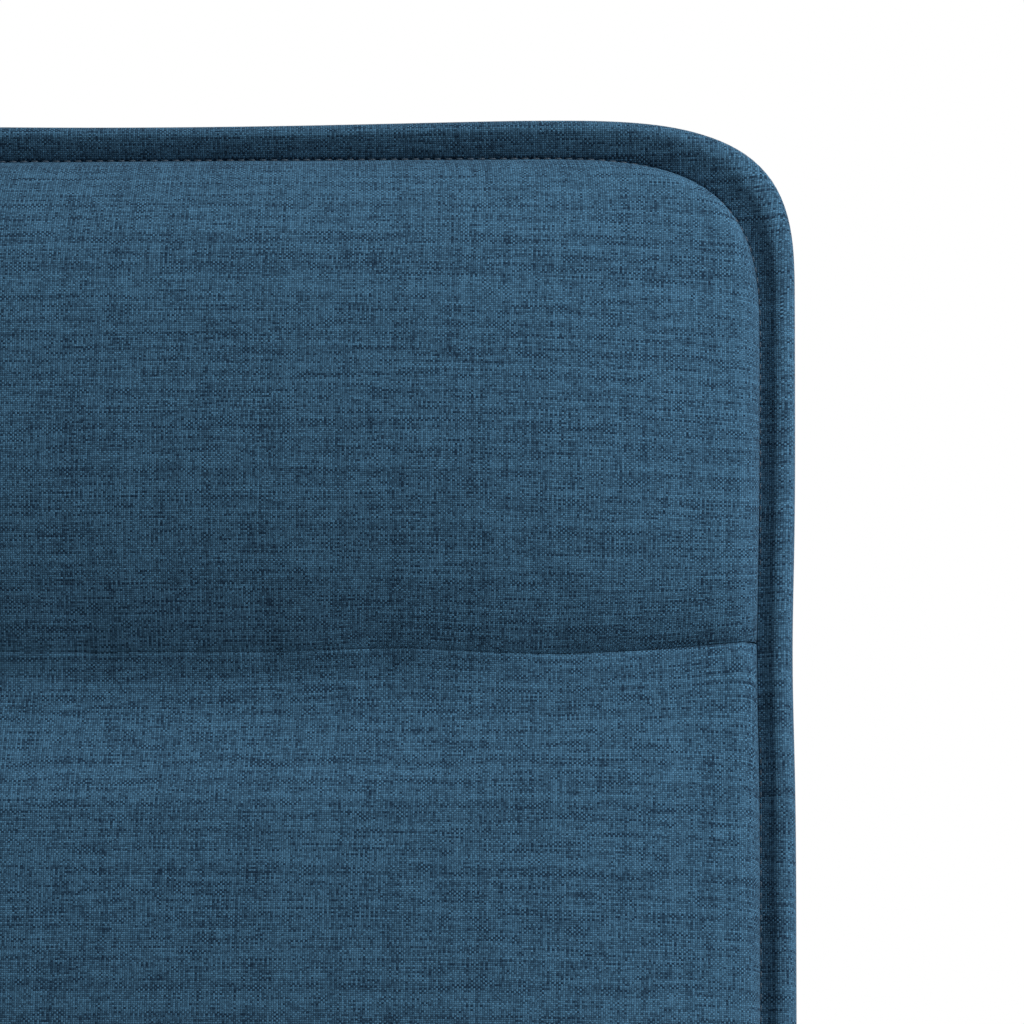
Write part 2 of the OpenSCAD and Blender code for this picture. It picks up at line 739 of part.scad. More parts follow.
module hinge_plates() {
    color([0.12, 0.12, 0.125]) both_sides() difference() {
        union() {
            along_x(hinge_x, hinge_x + plate_t) polygon(hinge_plate_points());
            translate([175, 112, plate_bottom]) cube([hinge_x - 174, 72, plate_t]);
        }
        translate([0, hinge_y, hinge_z]) rod_x(200, 300, pin_r);
        for (y = hinge_bolt_y) translate([hinge_bolt_x, y, plate_bottom - 1]) cylinder(h = 10, r = bolt_r);
        translate([0, recline_y, recline_z]) rod_x(200, 300, shaft_r + run_gap);
    }
}

module hinge_pins() {
    color([0.75, 0.76, 0.78]) both_sides() translate([0, hinge_y, hinge_z]) {
        rod_x(bracket_x + 0.2, hinge_x + plate_t + 14, pin_r);
        rod_x(hinge_x + plate_t, hinge_x + plate_t + 3, pin_r + 3);
    }
}

// A flat spiral spring on each hinge, which brings the back upright when the lever is lifted.
module recline_springs() {
    steps = 16;
    function spiral(r0) = [for (i = [0:steps * spiral_turns])
        let (a = 360 * i / steps, r = r0 + spiral_pitch * i / steps) [r * cos(a), r * sin(a)]];
    inner = spiral(pin_r + 0.2);
    outer = spiral(pin_r + 0.2 + spring_strip);
    color([0.4, 0.4, 0.42]) both_sides() translate([hinge_x + plate_t + 4, hinge_y, hinge_z])
        rotate([90, 0, 90]) linear_extrude(spring_strip_w)
            polygon(concat(outer, [for (i = [len(inner) - 1:-1:0]) inner[i]]));
}

// Outline of a hinge cover, as (y, z), shrunk by inset.
module cover_outline(inset) {
    hull() {
        translate([hinge_y, hinge_z]) circle(r = 42 - inset, $fn = 48);
        translate([hinge_y - 14, seat_z + 18]) circle(r = 30 - inset, $fn = 32);
        translate([136, seat_z + 18]) circle(r = 24 - inset, $fn = 32);
    }
}

module hinge_covers() {
    color([0.07, 0.07, 0.075]) both_sides() difference() {
        along_x(cover_x, cover_x + cover_depth) cover_outline(0);
        along_x(cover_x - 1, cover_x + cover_depth - cover_shell) cover_outline(cover_shell);
        translate([0, recline_y, recline_z]) rod_x(cover_x, cover_x + 60, shaft_r + 1);
    }
}

module recline_lever() {
    x0 = cover_x + cover_depth + 1.5;
    color([0.06, 0.06, 0.065]) mirror([1, 0, 0]) translate([0, recline_y, recline_z]) {
        rod_x(hinge_x - 1, x0 + 2, shaft_r);
        along_x(x0, x0 + recline_lever_t) polygon(concat(
            arc(0, 0, 13, -80, 100),
            arc(-recline_lever_len, 2, 9, 100, 260)
        ));
    }
}

// ---- Back ----------------------------------------------------------------------------------------

module back_outline(inset) {
    shrink = [inset, inset];
    panel(back_w - 2 * inset, back_bottom + inset, back_top - inset,
          back_corner - shrink, back_foot_corner - shrink, back_power);
}

module back_rim() {
    color([0.14, 0.24, 0.32]) on_back() difference() {
        along_y(slab_front, slab_rear) back_outline(0);
        along_y(pocket_front, slab_rear + 1) back_outline(pocket_wall);
        both_sides() for (z = back_bolt_heights) translate([0, tube_y, z]) rod_x(frame_x, bracket_x, bolt_r);
    }
}

module back_board() {
    color([0.72, 0.55, 0.36]) on_back()
        along_y(pocket_front + 0.2, pocket_front + 0.2 + back_board_t) back_outline(pocket_wall + 2);
}

// A bent steel tube loop with one crossbar. Each bend is a quarter ring.
module back_frame() {
    bend_x = frame_x - frame_bend;
    bend_low = frame_low + frame_bend;
    bend_high = frame_high - frame_bend;
    color([0.1, 0.1, 0.1]) on_back() translate([0, tube_y, 0]) difference() {
        union() {
            both_sides() translate([frame_x, 0, bend_low]) cylinder(h = bend_high - bend_low, r = tube_r);
            for (z = [frame_low, frame_high]) translate([0, 0, z]) rod_x(-bend_x, bend_x, tube_r);
            translate([0, 0, (frame_low + frame_high) / 2]) rod_x(-frame_x, frame_x, tube_r);
            both_sides() for (bend = [[bend_low, -90], [bend_high, 0]]) translate([bend_x, 0, bend[0]])
                rotate([90, 0, 0]) rotate(bend[1]) rotate_extrude(angle = 90)
                    translate([frame_bend, 0]) circle(tube_r);
        }
        both_sides() for (z = back_bolt_heights) translate([0, 0, z]) rod_x(frame_x, bracket_x, bolt_r);
    }
}

module back_panel() {
    color([0.14, 0.24, 0.32]) on_back()
        along_y(slab_rear + 0.2, slab_rear + 0.2 + rear_panel_t) back_outline(rear_panel_inset);
}

// One back pad between two heights, with the sizes of its upper and lower corners.
module back_pad(low, high, top, foot) {
    color([0.18, 0.3, 0.39]) on_back() along_y(pads_front, slab_front - pad_gap)
        panel(back_w - 2 * border, low, high, top, foot, back_power);
}

module back_brackets() {
    color([0.12, 0.12, 0.125]) on_back() both_sides() difference() {
        along_x(bracket_x, bracket_x + plate_t) polygon(concat(
            arc(0, 0, hinge_disc_r, 180, 320, 10),
            [[slab_rear - 2, 70], [slab_rear - 2, 196], [slab_rear - 20, 204], [26, 190]]
        ));
        rod_x(200, 300, pin_r + run_gap);
        for (z = back_bolt_heights) translate([0, tube_y, z]) rod_x(200, 300, bolt_r);
    }
}

module back_bolts() {
    color([0.6, 0.6, 0.6]) on_back() both_sides() for (z = back_bolt_heights) translate([0, tube_y, z]) {
        rod_x(frame_x, bracket_x + plate_t, bolt_r);
        translate([bracket_x + plate_t, 0, 0]) rotate([0, 90, 0])
            cylinder(h = bolt_head_h, r = bolt_head_r, $fn = 6);
    }
}

// ---- Nodes ---------------------------------------------------------------------------------------

base_star();
caster_stems();
column_tube();
guide_bush();
cover_lower();
for (i = [0:legs - 1]) {
    caster_hood(i);
    caster_axle(i);
    caster_wheels(i);
}
piston_rod();
thrust_bearing();
cover_middle();
gas_cylinder();
cover_upper();
mech_housing();
valve_pin();
height_lever();
tension_bolt();
tension_spring();
tension_knob();
seat_plate();
tilt_axle();
seat_board();
seat_rim();
seat_pad();
seat_dust_cover();
frame_bolts();
arm_brackets();
arm_sleeves();
hinge_plates();
hinge_pins();
recline_springs();
hinge_covers();
recline_lever();
back_rim();
back_board();
back_frame();
back_panel();
back_pad(head_bottom, pads_top, back_corner - [border, border], seam_corner);  // headrest_pad
back_pad(lumbar_top + pad_seam, head_bottom - pad_seam, seam_corner, seam_corner);  // upper_back_pad
back_pad(lumbar_bottom, lumbar_top, seam_corner, pad_foot_corner);  // lumbar_pad
back_brackets();
back_bolts();
arm_post();  // arm_post_left
mirror([1, 0, 0]) arm_post();  // arm_post_right
arm_pad();  // arm_pad_left
mirror([1, 0, 0]) arm_pad();  // arm_pad_right
arm_button();  // arm_button_left
mirror([1, 0, 0]) arm_button();  // arm_button_right
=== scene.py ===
"""The looks of a gaming chair in blue linen-look fabric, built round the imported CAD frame."""

import json
import math

import bpy
import numpy as np
from mathutils import Matrix, Vector


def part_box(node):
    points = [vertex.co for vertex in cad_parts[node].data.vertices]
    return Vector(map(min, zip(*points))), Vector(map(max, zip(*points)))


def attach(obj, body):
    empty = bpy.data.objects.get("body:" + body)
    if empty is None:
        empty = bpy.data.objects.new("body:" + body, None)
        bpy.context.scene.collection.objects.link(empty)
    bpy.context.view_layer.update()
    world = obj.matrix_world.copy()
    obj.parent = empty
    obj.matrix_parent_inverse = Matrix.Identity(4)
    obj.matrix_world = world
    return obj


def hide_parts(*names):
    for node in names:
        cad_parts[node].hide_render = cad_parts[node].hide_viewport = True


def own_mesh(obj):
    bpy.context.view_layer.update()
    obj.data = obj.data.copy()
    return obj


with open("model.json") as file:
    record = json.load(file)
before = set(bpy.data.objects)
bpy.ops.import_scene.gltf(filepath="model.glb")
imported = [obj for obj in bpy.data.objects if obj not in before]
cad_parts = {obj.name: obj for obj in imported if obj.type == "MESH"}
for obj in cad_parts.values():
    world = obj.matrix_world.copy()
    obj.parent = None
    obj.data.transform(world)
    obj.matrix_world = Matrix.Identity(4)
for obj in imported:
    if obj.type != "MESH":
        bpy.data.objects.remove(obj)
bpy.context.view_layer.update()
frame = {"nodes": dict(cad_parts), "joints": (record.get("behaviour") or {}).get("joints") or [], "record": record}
JOINTS = {j["name"]: j for j in frame["joints"]}
SLOTS = {s["node"]: s["material_slot"] for s in frame["record"]["subparts"]}
MM = 0.001

# The back's own frame: its origin is the recline hinge, and it leans behind the vertical.
BACK_LEAN = math.radians(8)
BACK = (
    Matrix.Translation(Vector(JOINTS["back_recline"]["pos_m"]))
    @ Matrix.Rotation(-BACK_LEAN, 4, "X")
)
# A cushion is built in (across, along, out) coordinates. These turn them into the row frame.
BACK_FRONT = BACK @ Matrix(((1, 0, 0, 0), (0, 0, -1, 0), (0, 1, 0, 0), (0, 0, 0, 1)))
BACK_REAR = BACK @ Matrix(((-1, 0, 0, 0), (0, 0, 1, 0), (0, 1, 0, 0), (0, 0, 0, 1)))
LEVEL = Matrix.Identity(4)


def box_in(node, place):
    """Lowest and highest corner of a CAD node, in the coordinates that place starts from."""
    back = np.array(place.inverted())
    co = np.array([v.co for v in frame["nodes"][node].data.vertices])
    co = co @ back[:3, :3].T + back[:3, 3]
    return co.min(0), co.max(0)


# ---- Shader nodes --------------------------------------------------------------------------------


class Shader:
    """A material's node tree, with short calls for the nodes that the materials below use."""

    def __init__(self, name):
        self.material = bpy.data.materials.new(name)
        self.material.use_nodes = True
        self.tree = self.material.node_tree
        self.surface = self.tree.nodes["Principled BSDF"]

    def put(self, socket, value):
        if isinstance(value, bpy.types.NodeSocket):
            self.tree.links.new(value, socket)
        else:
            socket.default_value = value

    def node(self, kind, out=0, settings=None, **inputs):
        made = self.tree.nodes.new(kind)
        for key, value in (settings or {}).items():
            setattr(made, key, value)
        for key, value in inputs.items():
            self.put(made.inputs[key], value)
        return made.outputs[out]

    def math(self, operation, a, b=0.0, clamp=False):
        made = self.tree.nodes.new("ShaderNodeMath")
        made.operation = operation
        made.use_clamp = clamp
        self.put(made.inputs[0], a)
        self.put(made.inputs[1], b)
        return made.outputs[0]

    def add(self, a, b, clamp=False):
        return self.math("ADD", a, b, clamp)

    def times(self, a, b):
        return self.math("MULTIPLY", a, b)

    def about(self, value, middle, gain):
        """How far a value is from a middle, times a gain."""
        return self.times(self.math("SUBTRACT", value, middle), gain)

    def vector(self, operation, a, b):
        made = self.tree.nodes.new("ShaderNodeVectorMath")
        made.operation = operation
        self.put(made.inputs[0], a)
        self.put(made.inputs[1], b)
        return made.outputs[0]

    def combine(self, x, y, z):
        return self.node("ShaderNodeCombineXYZ", X=x, Y=y, Z=z)

    def object_place(self):
        """The point's place in the piece's own coordinates, in metres."""
        return self.node("ShaderNodeTexCoord", out=3)

    def noise(self, vector, scale, detail=2.0, roughness=0.5):
        return self.node(
            "ShaderNodeTexNoise", Vector=vector, Scale=scale, Detail=detail, Roughness=roughness
        )

    def mix(self, amount, a, b):
        """A number mixed from a at amount 0 to b at amount 1."""
        made = self.tree.nodes.new("ShaderNodeMix")
        made.data_type = "FLOAT"
        self.put(made.inputs[0], amount)
        self.put(made.inputs[2], a)
        self.put(made.inputs[3], b)
        return made.outputs[0]

    def colour(self, amount, a, b):
        """A colour mixed from a at amount 0 to b at amount 1."""
        made = self.tree.nodes.new("ShaderNodeMix")
        made.data_type = "RGBA"
        self.put(made.inputs[0], amount)
        for socket, value in ((made.inputs[6], a), (made.inputs[7], b)):
            self.put(socket, value if isinstance(value, bpy.types.NodeSocket) else (*value, 1))
        return made.outputs[2]

    def spread(self, value, low, high, to_low=0.0, to_high=1.0):
        """Maps low..high to to_low..to_high, clamped."""
        made = self.tree.nodes.new("ShaderNodeMapRange")
        for i, v in enumerate((value, low, high, to_low, to_high)):
            self.put(made.inputs[i], v)
        return made.outputs[0]

    def bump(self, height, distance, strength=1.0):
        return self.node("ShaderNodeBump", Height=height, Distance=distance, Strength=strength)

    def finish(self, **inputs):
        """Sets the surface shader's inputs, by name with underscores for spaces."""
        for key, value in inputs.items():
            socket = self.surface.inputs[key.replace("_", " ")]
            if socket.type == "RGBA" and not isinstance(value, bpy.types.NodeSocket):
                value = (*value, 1)
            self.put(socket, value)
        return self.material


# ---- Materials -----------------------------------------------------------------------------------

WARP = 0.9 * MM    # pitch of the linen's upright threads
WEFT = 0.79 * MM   # pitch of the threads that run across
WANDER = 1.3 * MM  # how far a thread strays from a straight line
LINEN_DEPTH = 0.12 * MM
# GAP_SHADE is painted shade: the near-black colour where a thread dives into the gaps between threads.
GAP_SHADE, DARK_YARN, LIGHT_YARN = (0.0012, 0.006, 0.016), (0.006, 0.024, 0.05), (0.065, 0.173, 0.284)
EVEN = 20000.0      # added to the thread numbers, which may be negative, before the modulo
NEXT_THREAD = 7.31  # step in the noise from one thread to the next, so that they differ


def linen(name):
    """Plain-weave linen look: threads over and under, each with its own tone, thick slubs, and painted shade in
    the gaps between them.
    """
    s = Shader(name)
    place = s.node("ShaderNodeAttribute", out=1, settings={"attribute_name": "fabric"})
    wander = s.node("ShaderNodeTexNoise", out=1, Vector=place, Scale=26.0, Detail=2.0)
    wander = s.vector("SUBTRACT", wander, (0.5, 0.5, 0.5))
    at = s.vector("ADD", place, s.vector("MULTIPLY", wander, (WANDER, WANDER, 0)))
    split = s.tree.nodes.new("ShaderNodeSeparateXYZ")
    s.put(split.inputs[0], s.vector("MULTIPLY", at, (1 / WARP, 1 / WEFT, 0)))
    u, v = split.outputs[0], split.outputs[1]
    iu, iv = s.math("FLOOR", u), s.math("FLOOR", v)
    warp_up = s.math("MODULO", s.add(s.add(iu, iv), EVEN), 2.0)
    # A thread is round: 0 at its two sides and 1 along its middle.
    round_u, round_v = (s.math("SINE", s.times(s.math("FRACT", c), math.pi)) for c in (u, v))

    def threads(index, run, length, contrast, seed):
        """Shade of one set of threads, with streaks of a length in threads, and its slubs."""
        each = s.node(
            "ShaderNodeTexWhiteNoise", settings={"noise_dimensions": "1D"}, W=s.add(index, seed)
        )
        line = s.times(index, NEXT_THREAD)
        streak = s.noise(s.combine(line, s.times(run, 1 / length), seed), 1.0, 3.0, 0.65)
        streak = s.spread(streak, 0.28, 0.72, 0.5 - contrast, 0.5 + contrast)
        slub = s.noise(s.combine(line, s.times(run, 0.3 / length), seed + 9), 1.0, 1.0)
        return s.add(s.about(each, 0.35, 0.4), streak), s.spread(slub, 0.56, 0.7)

    warp, warp_slub = threads(iu, v, length=15.0, contrast=0.42, seed=11.0)
    weft, weft_slub = threads(iv, u, length=22.0, contrast=0.46, seed=47.0)
    slub = s.mix(warp_up, weft_slub, warp_slub)
    # In places one set of threads is pulled tight, and the other stands up round it.
    pull = s.noise(s.vector("MULTIPLY", place, (1.0, 2.0, 1.0)), 130.0, 3.0)
    pull = s.spread(pull, 0.36, 0.64)
    stand = s.mix(warp_up, s.mix(pull, -0.27, 0.15), s.mix(pull, 0.27, -0.07))
    # Height of the thread on top: round across it, and diving at both ends of its float.
    across = s.mix(warp_up, round_v, round_u)
    along = s.mix(warp_up, round_u, round_v)
    low = s.mix(warp_up, s.mix(pull, 0.1, 0.7), s.mix(pull, 0.7, 0.1))
    height = s.times(s.math("POWER", across, 0.7), s.mix(along, low, 1.0))
    # Shade: the thread's own, then each crossing's, broad patches, and paler slubs.
    cell = s.node("ShaderNodeTexWhiteNoise", Vector=s.combine(iu, iv, 3.0))
    shade = s.add(s.mix(warp_up, weft, warp), stand)
    shade = s.add(shade, s.about(cell, 0.5, 0.44))
    shade = s.add(shade, s.about(s.noise(place, 45.0, 3.0, 0.6), 0.5, 0.05))
    shade = s.add(shade, s.times(slub, 0.12))
    yarn = s.colour(s.spread(shade, 0.13, 0.98), DARK_YARN, LIGHT_YARN)
    # Where a thread dives into a gap, its colour goes to the painted shade.
    above_gap = s.spread(height, 0.15, 0.8, s.mix(warp_up, 0.76, 0.06))
    fuzz = s.noise(place, 2600.0, 2.0, 0.7)
    raised = s.add(s.add(height, s.times(slub, 0.4)), s.times(fuzz, 0.25))
    return s.finish(
        Base_Color=s.colour(above_gap, GAP_SHADE, yarn),
        Roughness=0.9,
        Specular_IOR_Level=0.12,
        Sheen_Weight=0.06,
        Sheen_Roughness=0.5,
        Sheen_Tint=(0.5, 0.7, 0.95),
        Normal=s.bump(raised, LINEN_DEPTH),
    )


def plastic(name, colour, roughness, grain=900.0, depth=0.03 * MM):
    """Moulded plastic: fine spark-eroded grain, a little dust and handling wear."""
    s = Shader(name)
    at = s.object_place()
    grain = s.noise(at, grain, 3.0, 0.6)
    wear = s.noise(at, 9.0, 4.0, 0.6)
    dust = s.spread(wear, 0.45, 0.75)
    shade = s.colour(dust, colour, tuple(min(1, c * 1.5 + 0.006) for c in colour))
    rough = s.add(s.times(grain, 0.12), s.times(dust, 0.1))
    return s.finish(
        Base_Color=shade,
        Roughness=s.add(rough, roughness - 0.06),
        Specular_IOR_Level=0.45,
        Normal=s.bump(grain, depth),
    )


def metal(name, colour, roughness, metallic=1.0, brush=None):
    """Steel: plated, painted or brushed, with faint handling marks."""
    s = Shader(name)
    at = s.object_place()
    stretch = s.vector("MULTIPLY", at, brush or (1, 1, 1))
    marks = s.noise(stretch, 700.0 if brush else 350.0, 3.0, 0.6)
    stain = s.noise(at, 14.0, 4.0, 0.6)
    shade = s.colour(s.spread(stain, 0.4, 0.75), colour, tuple(c * 0.72 for c in colour))
    rough = s.add(s.times(marks, 0.2), roughness - 0.1)
    return s.finish(
        Base_Color=shade, Metallic=metallic, Roughness=rough, Normal=s.bump(marks, 0.012 * MM)
    )


def wood(name, light, dark):
    """Plywood: long grain with fine pores."""
    s = Shader(name)
    at = s.object_place()
    warp = s.noise(at, 3.0, 2.0)
    long = s.vector("MULTIPLY", at, (60.0, 5.0, 5.0))
    grain = s.noise(s.vector("ADD", long, s.combine(warp, warp, warp)), 1.0, 6.0, 0.65)
    pores = s.noise(s.vector("MULTIPLY", at, (900.0, 40.0, 40.0)), 1.0, 2.0)
    tone = s.add(s.spread(grain, 0.35, 0.7), s.times(pores, 0.2), clamp=True)
    return s.finish(
        Base_Color=s.colour(tone, light, dark), Roughness=0.65, Normal=s.bump(pores, 0.05 * MM)
    )


def soft_grain(name, colour):
    """Soft polyurethane skin of the arm pads: a pebbled leather-like grain."""
    s = Shader(name)
    at = s.object_place()
    cells = s.node(
        "ShaderNodeTexVoronoi", settings={"feature": "DISTANCE_TO_EDGE"}, Vector=at, Scale=620.0
    )
    pebble = s.spread(cells, 0.0, 0.22)
    fine = s.noise(at, 2400.0, 2.0, 0.6)
    wear = s.spread(s.noise(at, 11.0, 3.0, 0.6), 0.4, 0.75)
    height = s.add(pebble, s.times(fine, 0.2))
    return s.finish(
        Base_Color=s.colour(wear, colour, tuple(c * 1.5 + 0.003 for c in colour)),
        Roughness=s.mix(wear, 0.62, 0.48),
        Normal=s.bump(height, 0.08 * MM, 0.7),
    )


def felt(name, colour):
    """Thin non-woven cloth: tangled fibres pressed with a grid of weld points."""
    s = Shader(name)
    at = s.object_place()
    fibres = s.noise(s.vector("MULTIPLY", at, (400.0, 1500.0, 400.0)), 1.0, 4.0, 0.7)
    welds = s.node("ShaderNodeTexVoronoi", Vector=at, Scale=420.0, Randomness=0.1)
    height = s.add(fibres, s.spread(welds, 0.1, 0.35))
    shade = s.colour(s.spread(fibres, 0.35, 0.7), colour, tuple(c * 2.2 for c in colour))
    return s.finish(
        Base_Color=shade, Roughness=0.95, Specular_IOR_Level=0.2, Normal=s.bump(height, 0.12 * MM)
    )


def thread(name, colour):
    """Sewing thread: a tight twist with a little sheen, and painted shade in its grooves."""
    s = Shader(name)
    at = s.object_place()
    twist = s.node(
        "ShaderNodeTexWave", out=1, settings={"bands_direction": "DIAGONAL"},
        Vector=at, Scale=900.0, Distortion=2.0,
    )
    return s.finish(
        # The colour is painted darker where the twist's bump is low: painted shade in its grooves.
        Base_Color=s.colour(twist, tuple(c * 0.6 for c in colour), colour),
        Roughness=0.6, Normal=s.bump(twist, 0.06 * MM),
    )


MATERIALS = {
    "base_plastic": plastic("base_plastic", (0.018, 0.018, 0.02), 0.42),
    "cover_plastic": plastic("cover_plastic", (0.016, 0.016, 0.018), 0.5, 1200.0, 0.04 * MM),
    "wheel_plastic": plastic("wheel_plastic", (0.03, 0.03, 0.033), 0.38),
    "lever_plastic": plastic("lever_plastic", (0.02, 0.02, 0.022), 0.4),
    "nylon_white": plastic("nylon_white", (0.72, 0.71, 0.66), 0.4),
    "valve_red": plastic("valve_red", (0.5, 0.02, 0.015), 0.35),
    "black_steel": metal("black_steel", (0.016, 0.016, 0.018), 0.42, 0.0),
    "zinc_steel": metal("zinc_steel", (0.62, 0.63, 0.65), 0.34, 1.0, (1, 1, 12)),
    "spring_steel": metal("spring_steel", (0.32, 0.32, 0.34), 0.38),
    "plywood": wood("plywood", (0.58, 0.4, 0.22), (0.36, 0.22, 0.1)),
    "arm_pad_pu": soft_grain("arm_pad_pu", (0.014, 0.014, 0.016)),
    "dust_cloth": felt("dust_cloth", (0.012, 0.012, 0.013)),
    "blue_thread": thread("blue_thread", (0.02, 0.05, 0.085)),
    "blue_linen": linen("blue_linen"),
    "blue_linen_rim": linen("blue_linen_rim"),
}


# ---- Mesh tools ----------------------------------------------------------------------------------


def make(name, verts, faces, place, body, slot, fabric=None):
    """A smooth mesh piece. verts are (across, along, out) in metres, before place."""
    mesh = bpy.data.meshes.new(name)
    mesh.from_pydata([tuple(v) for v in verts], [], [tuple(f) for f in faces])
    mesh.transform(place)
    mesh.polygons.foreach_set("use_smooth", np.ones(len(mesh.polygons), bool))
    if fabric is not None:
        layer = mesh.attributes.new("fabric", "FLOAT_VECTOR", "POINT")
        layer.data.foreach_set("vector", np.column_stack([fabric, np.zeros(len(fabric))]).ravel())
    piece = bpy.data.objects.new(name, mesh)
    bpy.context.scene.collection.objects.link(piece)
    mesh.materials.append(MATERIALS[slot])
    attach(piece, body)
    return piece


class Outline:
    """A rounded rectangle, symmetric across. Its top corners are superellipses of a power."""

    def __init__(self, half, low, high, top, foot, power=2.0):
        self.half, self.low, self.high = half, low, high
        self.top, self.foot, self.power = top, foot, power

    def inset(self, d):
        def less(corner):
            return tuple(max(size - d, 0.5 * MM) for size in corner)

        return Outline(
            self.half - d, self.low + d, self.high - d, less(self.top), less(self.foot), self.power
        )

    def corner(self, sx, sy, a0, a1, steps=32):
        rx, ry = self.top if sy > 0 else self.foot
        x = sx * (self.half - rx)
        y = self.high - ry if sy > 0 else self.low + ry
        a = np.radians(np.linspace(a0, a1, steps))
        c, s = np.cos(a), np.sin(a)
        p = 2 / (self.power if sy > 0 else 2)
        return np.column_stack([
            x + rx * np.sign(c) * np.abs(c) ** p, y + ry * np.sign(s) * np.abs(s) ** p
        ])

    def loop(self, nx, ny):
        """2 (nx + ny) points, anticlockwise from the middle of the lower left corner."""
        sides = [
            (self.corner(-1, -1, 225, 270), self.corner(1, -1, 270, 315), nx),
            (self.corner(1, -1, 315, 360), self.corner(1, 1, 0, 45), ny),
            (self.corner(1, 1, 45, 90), self.corner(-1, 1, 90, 135), nx),
            (self.corner(-1, 1, 135, 180), self.corner(-1, -1, 180, 225), ny),
        ]
        out = []
        for start, end, n in sides:
            path = np.vstack([start, end])
            run = np.concatenate([[0], np.cumsum(np.linalg.norm(np.diff(path, axis=0), axis=1))])
            at = np.linspace(0, run[-1], n, endpoint=False)
            out.append(np.column_stack([np.interp(at, run, path[:, k]) for k in (0, 1)]))
        return np.vstack(out)

    def inside(self, x, y):
        """Distance in from the outline: exact on its straight sides, close in its corners."""
        ax = np.abs(x)
        d = np.minimum(np.minimum(self.half - ax, self.high - y), y - self.low)
        for (rx, ry), sign, power in ((self.top, 1, self.power), (self.foot, -1, 2.0)):
            cx = self.half - rx
            cy = self.high - ry if sign > 0 else self.low + ry
            u, v = np.clip((ax - cx) / rx, 0, None), np.clip(sign * (y - cy) / ry, 0, None)
            f = np.maximum((u**power + v**power) ** (1 / power), 1e-9)
            d = np.where((u > 0) & (v > 0), np.hypot(ax - cx, y - cy) * (1 / f - 1), d)
        return np.maximum(d, 0)


def fill_grid(loop, nx, ny):
    """Points inside a loop, on an (nx + 1) by (ny + 1) grid whose rim is the loop."""
    mid = (loop.min(0) + loop.max(0)) / 2
    i, j = np.meshgrid(np.arange(nx + 1), np.arange(ny + 1), indexing="ij")
    u, v = 2 * i / nx - 1, 2 * j / ny - 1
    k = np.maximum(np.abs(u), np.abs(v))
    safe = np.where(k > 0, k, 1)
    fx, fy = (u / safe + 1) / 2, (v / safe + 1) / 2
    along = np.where(
        np.abs(v) >= np.abs(u),
        np.where(v < 0, fx * nx, nx + ny + (1 - fx) * nx),
        np.where(u > 0, nx + fy * ny, 2 * nx + ny + (1 - fy) * ny),
    )
    closed = np.vstack([loop, loop[:1]])
    steps = np.arange(len(closed))
    rim = np.stack([np.interp(along, steps, closed[:, c]) for c in (0, 1)], -1)
    return (mid + (rim - mid) * k[..., None]).reshape(-1, 2)


def grid_border(nx, ny):
    """Indices of a grid's rim, in the order of Outline.loop."""
    n = ny + 1
    lower = [i * n for i in range(nx)]
    right = [nx * n + j for j in range(ny)]
    upper = [i * n + ny for i in range(nx, 0, -1)]
    left = [j for j in range(ny, 0, -1)]
    return lower + right + upper + left


def grid_faces(nx, ny, index=None, flip=False):
    n = ny + 1
    faces = [
        (i * n + j, (i + 1) * n + j, (i + 1) * n + j + 1, i * n + j + 1)
        for i in range(nx) for j in range(ny)
    ]
    if index is not None:
        faces = [tuple(index[v] for v in face) for face in faces]
    return [face[::-1] for face in faces] if flip else faces


EDGE_RINGS = (24, 19.5, 15.8, 12.6, 10, 7.8, 6, 4.5, 3.2, 2.2, 1.35, 0.7, 0.25, 0)


def pad(
    name, outline, front, sides, place, body, slot, cell=4.5 * MM, rings=EDGE_RINGS, warp=None
):
    """A closed upholstered pad on its outline.

    front(x, y) gives its front, and rings the insets in mm of its edge. sides is a list of (inset,
    out) for the rings below it, where out is a share of the edge's own height. warp moves finished
    points in the outline's plane.
    """
    nx = max(8, round(2 * outline.half / cell))
    ny = max(8, round((outline.high - outline.low) / cell))
    rim = outline.loop(nx, ny)
    edge = len(rim)
    grid = fill_grid(outline.inset(rings[0] * MM).loop(nx, ny), nx, ny)
    verts = [np.column_stack([grid, front(grid[:, 0], grid[:, 1])])]
    fabric = [grid]
    faces = grid_faces(nx, ny)
    last = grid_border(nx, ny)
    count = len(grid)
    base = verts[0][last]
    previous, travelled = base, np.zeros(edge)
    outward = rim - base[:, :2]
    outward /= np.linalg.norm(outward, axis=1)[:, None]

    def add(ring):
        nonlocal last, count, previous, travelled, faces
        travelled = travelled + np.linalg.norm(ring - previous, axis=1)
        verts.append(ring)
        fabric.append(base[:, :2] + outward * travelled[:, None])
        faces += [
            (last[k], count + k, count + (k + 1) % edge, last[(k + 1) % edge]) for k in range(edge)
        ]
        last = list(range(count, count + edge))
        count += edge
        previous = ring

    for d in rings[1:]:
        ring = outline.inset(d * MM).loop(nx, ny) if d else rim
        add(np.column_stack([ring, front(ring[:, 0], ring[:, 1])]))
    top = previous[:, 2]
    for inset, share in sides:
        add(np.column_stack([outline.inset(inset).loop(nx, ny), top * share]))
    # A flat base closes it.
    flat = fill_grid(previous[:, :2], nx, ny)
    index = {g: last[k] for k, g in enumerate(grid_border(nx, ny))}
    fresh = [g for g in range(len(flat)) if g not in index]
    index.update({g: count + k for k, g in enumerate(fresh)})
    verts.append(np.column_stack([flat[fresh], np.zeros(len(fresh))]))
    fabric.append(flat[fresh])
    faces += grid_faces(nx, ny, index, flip=True)
    verts = np.vstack(verts)
    if warp is not None:
        verts = warp(verts)
    return make(name, verts, faces, place, body, slot, np.vstack(fabric))


ROLL_CELL = 4 * MM


